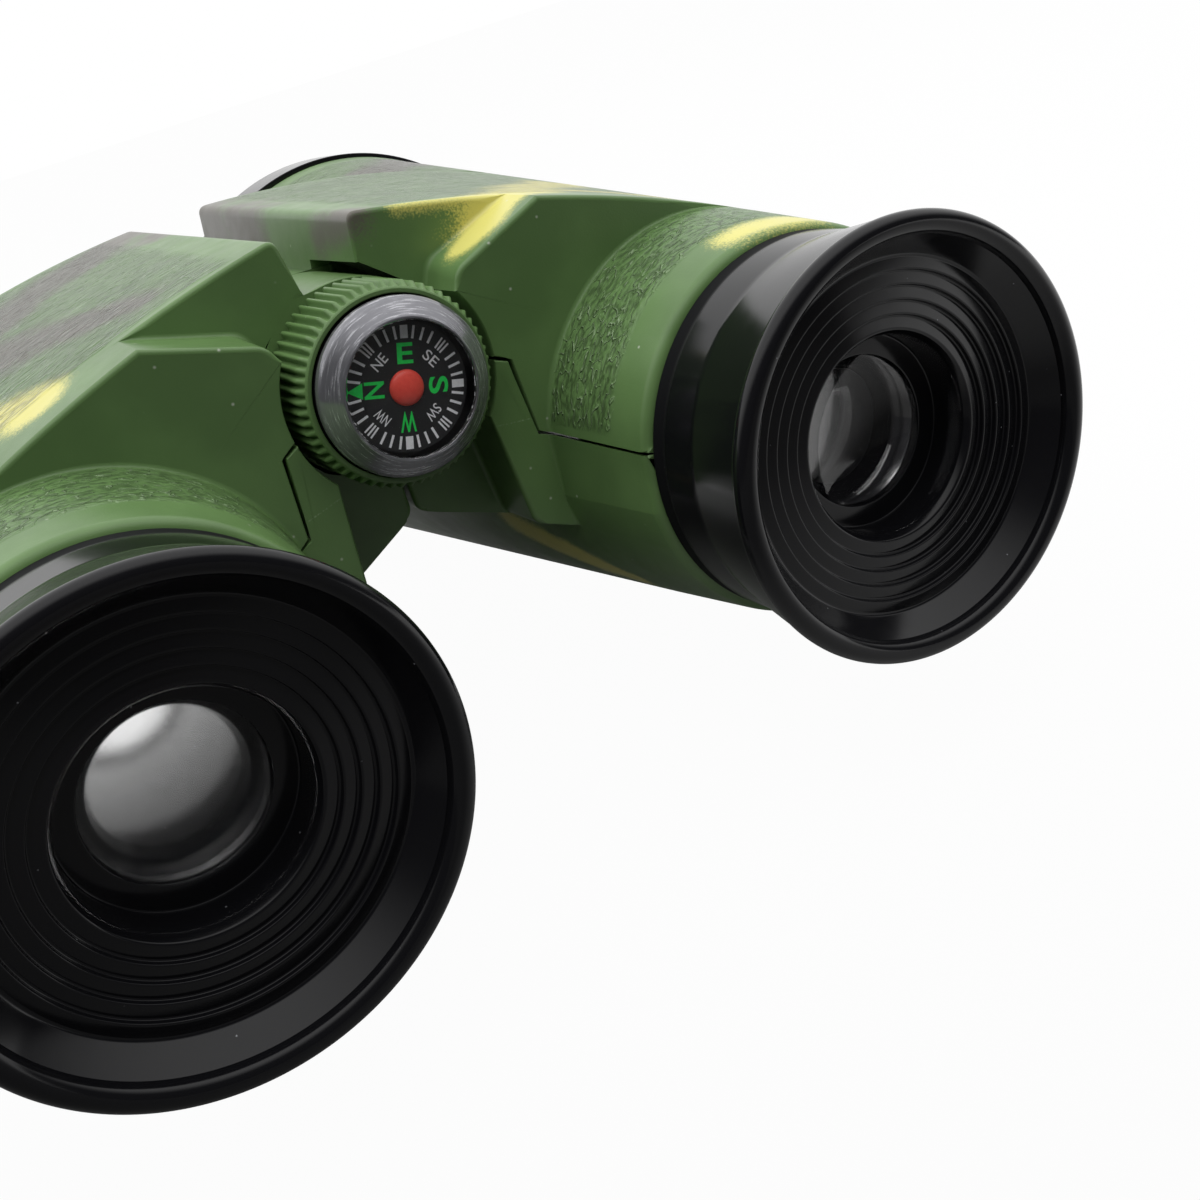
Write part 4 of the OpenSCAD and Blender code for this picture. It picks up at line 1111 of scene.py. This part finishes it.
def letters(word, height, width, weight):
    """Points and faces of a word, centred, stretched to a height and a width and made bolder by a weight."""
    curve = bpy.data.curves.new("letters", "FONT")
    curve.body, curve.align_x, curve.align_y, curve.offset = word, "CENTER", "CENTER", weight
    text = bpy.data.objects.new("letters", curve)
    mesh = bpy.data.meshes.new_from_object(text)
    points = np.zeros(len(mesh.vertices) * 3)
    mesh.vertices.foreach_get("co", points)
    points = points.reshape(-1, 3)[:, :2]
    points -= (points.min(0) + points.max(0)) / 2
    points *= [width / np.ptp(points[:, 0]), height / np.ptp(points[:, 1])]
    faces = [list(face.vertices) for face in mesh.polygons]
    bpy.data.objects.remove(text)
    return points, faces


def tick(degrees, wide):
    """One radial bar."""
    length = ink["outer"] - ink["inner"]
    bar = np.array([[-0.5, -0.5], [0.5, -0.5], [0.5, 0.5], [-0.5, 0.5]]) * [wide, length]
    return on_card(bar, degrees, (ink["outer"] + ink["inner"]) / 2), [[0, 1, 2, 3]]


white_prints, green_prints = [], []
for quarter, (big, small) in enumerate([("E", "NE"), ("N", "NW"), ("W", "SW"), ("S", "SE")]):
    at = ink["east"] + 90 * quarter
    shape, faces = letters(big, **big_letter)
    green_prints.append((on_card(shape, at, big_reach), faces))
    shape, faces = letters(small, **small_letter)
    white_prints.append((on_card(shape, at + 45, small_reach), faces))
    white_prints += [tick(at + degrees, ink["tick"]) for degrees in (10, 20, 30, 60, 70, 80)]
    white_prints += [tick(at + degrees, ink["fine"]) for degrees in (41, 45, 49)]
    if big == "N":
        green_prints.append((on_card(pointer, at, pointer_reach), [[0, 1, 2]]))
    else:
        white_prints.append(tick(at, ink["bold"]))
for name, prints, material in (("white_print", white_prints, white_ink),
                               ("green_print", green_prints, green_ink)):
    mesh = new_mesh(name, *gather(prints))
    mesh.materials.append(material)
    piece = new_object(name, mesh)
    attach(piece, "card")

# Floor, light and camera: a white floor in a white room, with soft light from above and ahead. The camera
# looks from behind and above the eyepieces.
camera_place = np.array([-33.111, -132.368, 63.233])
camera_right = np.array([0.81621, -0.50485, -0.28094])
camera_down = np.array([-0.41871, -0.18183, -0.88973])
camera_ahead = np.cross(camera_right, camera_down)
camera_data = bpy.data.cameras.new("camera")
camera_data.sensor_width = 36
camera_data.lens = 40.476
camera_data.shift_y = -0.0667
camera_data.clip_start = 0.005
camera = new_object("camera", camera_data)
camera.matrix_world = Matrix.Translation(camera_place * MM) @ Matrix(
    np.stack([camera_right, -camera_down, -camera_ahead], -1).tolist()).to_4x4()
bpy.context.scene.camera = camera

# The floor's colour holds a painted shadow: dark on the camera's side, pale beyond the object, where gloss
# and glass mirror it as white. The camera sees it as white, with a trace of the object's shadow.
floor_half, white_share = 6, 0.97
floor_mesh = bpy.data.meshes.new("floor")
floor_mesh.from_pydata([(x * floor_half, y * floor_half, 0) for x, y in ((-1, -1), (1, -1), (1, 1), (-1, 1))],
                       [], [(0, 1, 2, 3)])
white_floor, tree, shader = new_finish("white_floor", 0.9)
paper = wire(tree, "Emission", {"Color": (1, 1, 1, 1), "Strength": 1.0}).outputs[0]
path = wire(tree, "LightPath").outputs
coords = wire(tree, "TexCoord").outputs["Object"]
depth = wire(tree, "SeparateXYZ", {0: coords}).outputs["Y"]
# Painted shadow: the floor's colour is dark on the camera's side and pale beyond it
lit = fade(tree, vectors(tree, "DOT_PRODUCT", coords, (0.8, 1.0, 0.0)), -0.13, 0.06)
feed(shader, {"Base Color": blend(tree, lit, (0.05, 0.05, 0.05), (0.62, 0.62, 0.62))})
mirrored = sums(tree, "MAXIMUM", path["Is Glossy Ray"], path["Is Transmission Ray"])
beside = vectors(tree, "DOT_PRODUCT", coords, (1.6, 1.0, 0.0))
bright = sums(tree, "MAXIMUM", fade(tree, depth, 0.0, 0.2), fade(tree, beside, 0.0, 0.2))
seen = times(tree, sums(tree, "MAXIMUM", path["Is Camera Ray"], times(tree, mirrored, bright)), white_share)
cover = wire(tree, "MixShader", {0: seen, 1: shader.outputs[0], 2: paper})
feed(tree.nodes["Material Output"], {"Surface": cover.outputs[0]})
floor_mesh.materials.append(white_floor)
new_object("floor", floor_mesh)

# The room is white ahead of the object and dim behind the camera; the camera itself sees plain white
world = bpy.data.worlds.new("white_room")
world.use_nodes = True
bpy.context.scene.world = world
tree = world.node_tree
toward = vectors(tree, "DOT_PRODUCT", wire(tree, "TexCoord").outputs["Generated"], (0.25, 1.0, 1.05))
room = blend(tree, fade(tree, toward, -0.05, 0.8), (0.05, 0.05, 0.054), (1, 1, 1))
seen = wire(tree, "LightPath").outputs["Is Camera Ray"]
feed(tree.nodes["Background"], {"Color": blend(tree, seen, room, (1, 1, 1)), "Strength": 1.0})
lamp_data = bpy.data.lights.new("overhead_light", "AREA")
lamp_data.shape = "RECTANGLE"
lamp_data.size = 1.2
lamp_data.size_y = 0.9
lamp_data.energy = 7.2
lamp = new_object("overhead_light", lamp_data)
lamp.location = (-0.05, -0.2, 0.65)
lamp.visible_glossy = False

bpy.context.scene.view_settings.view_transform = "Standard"
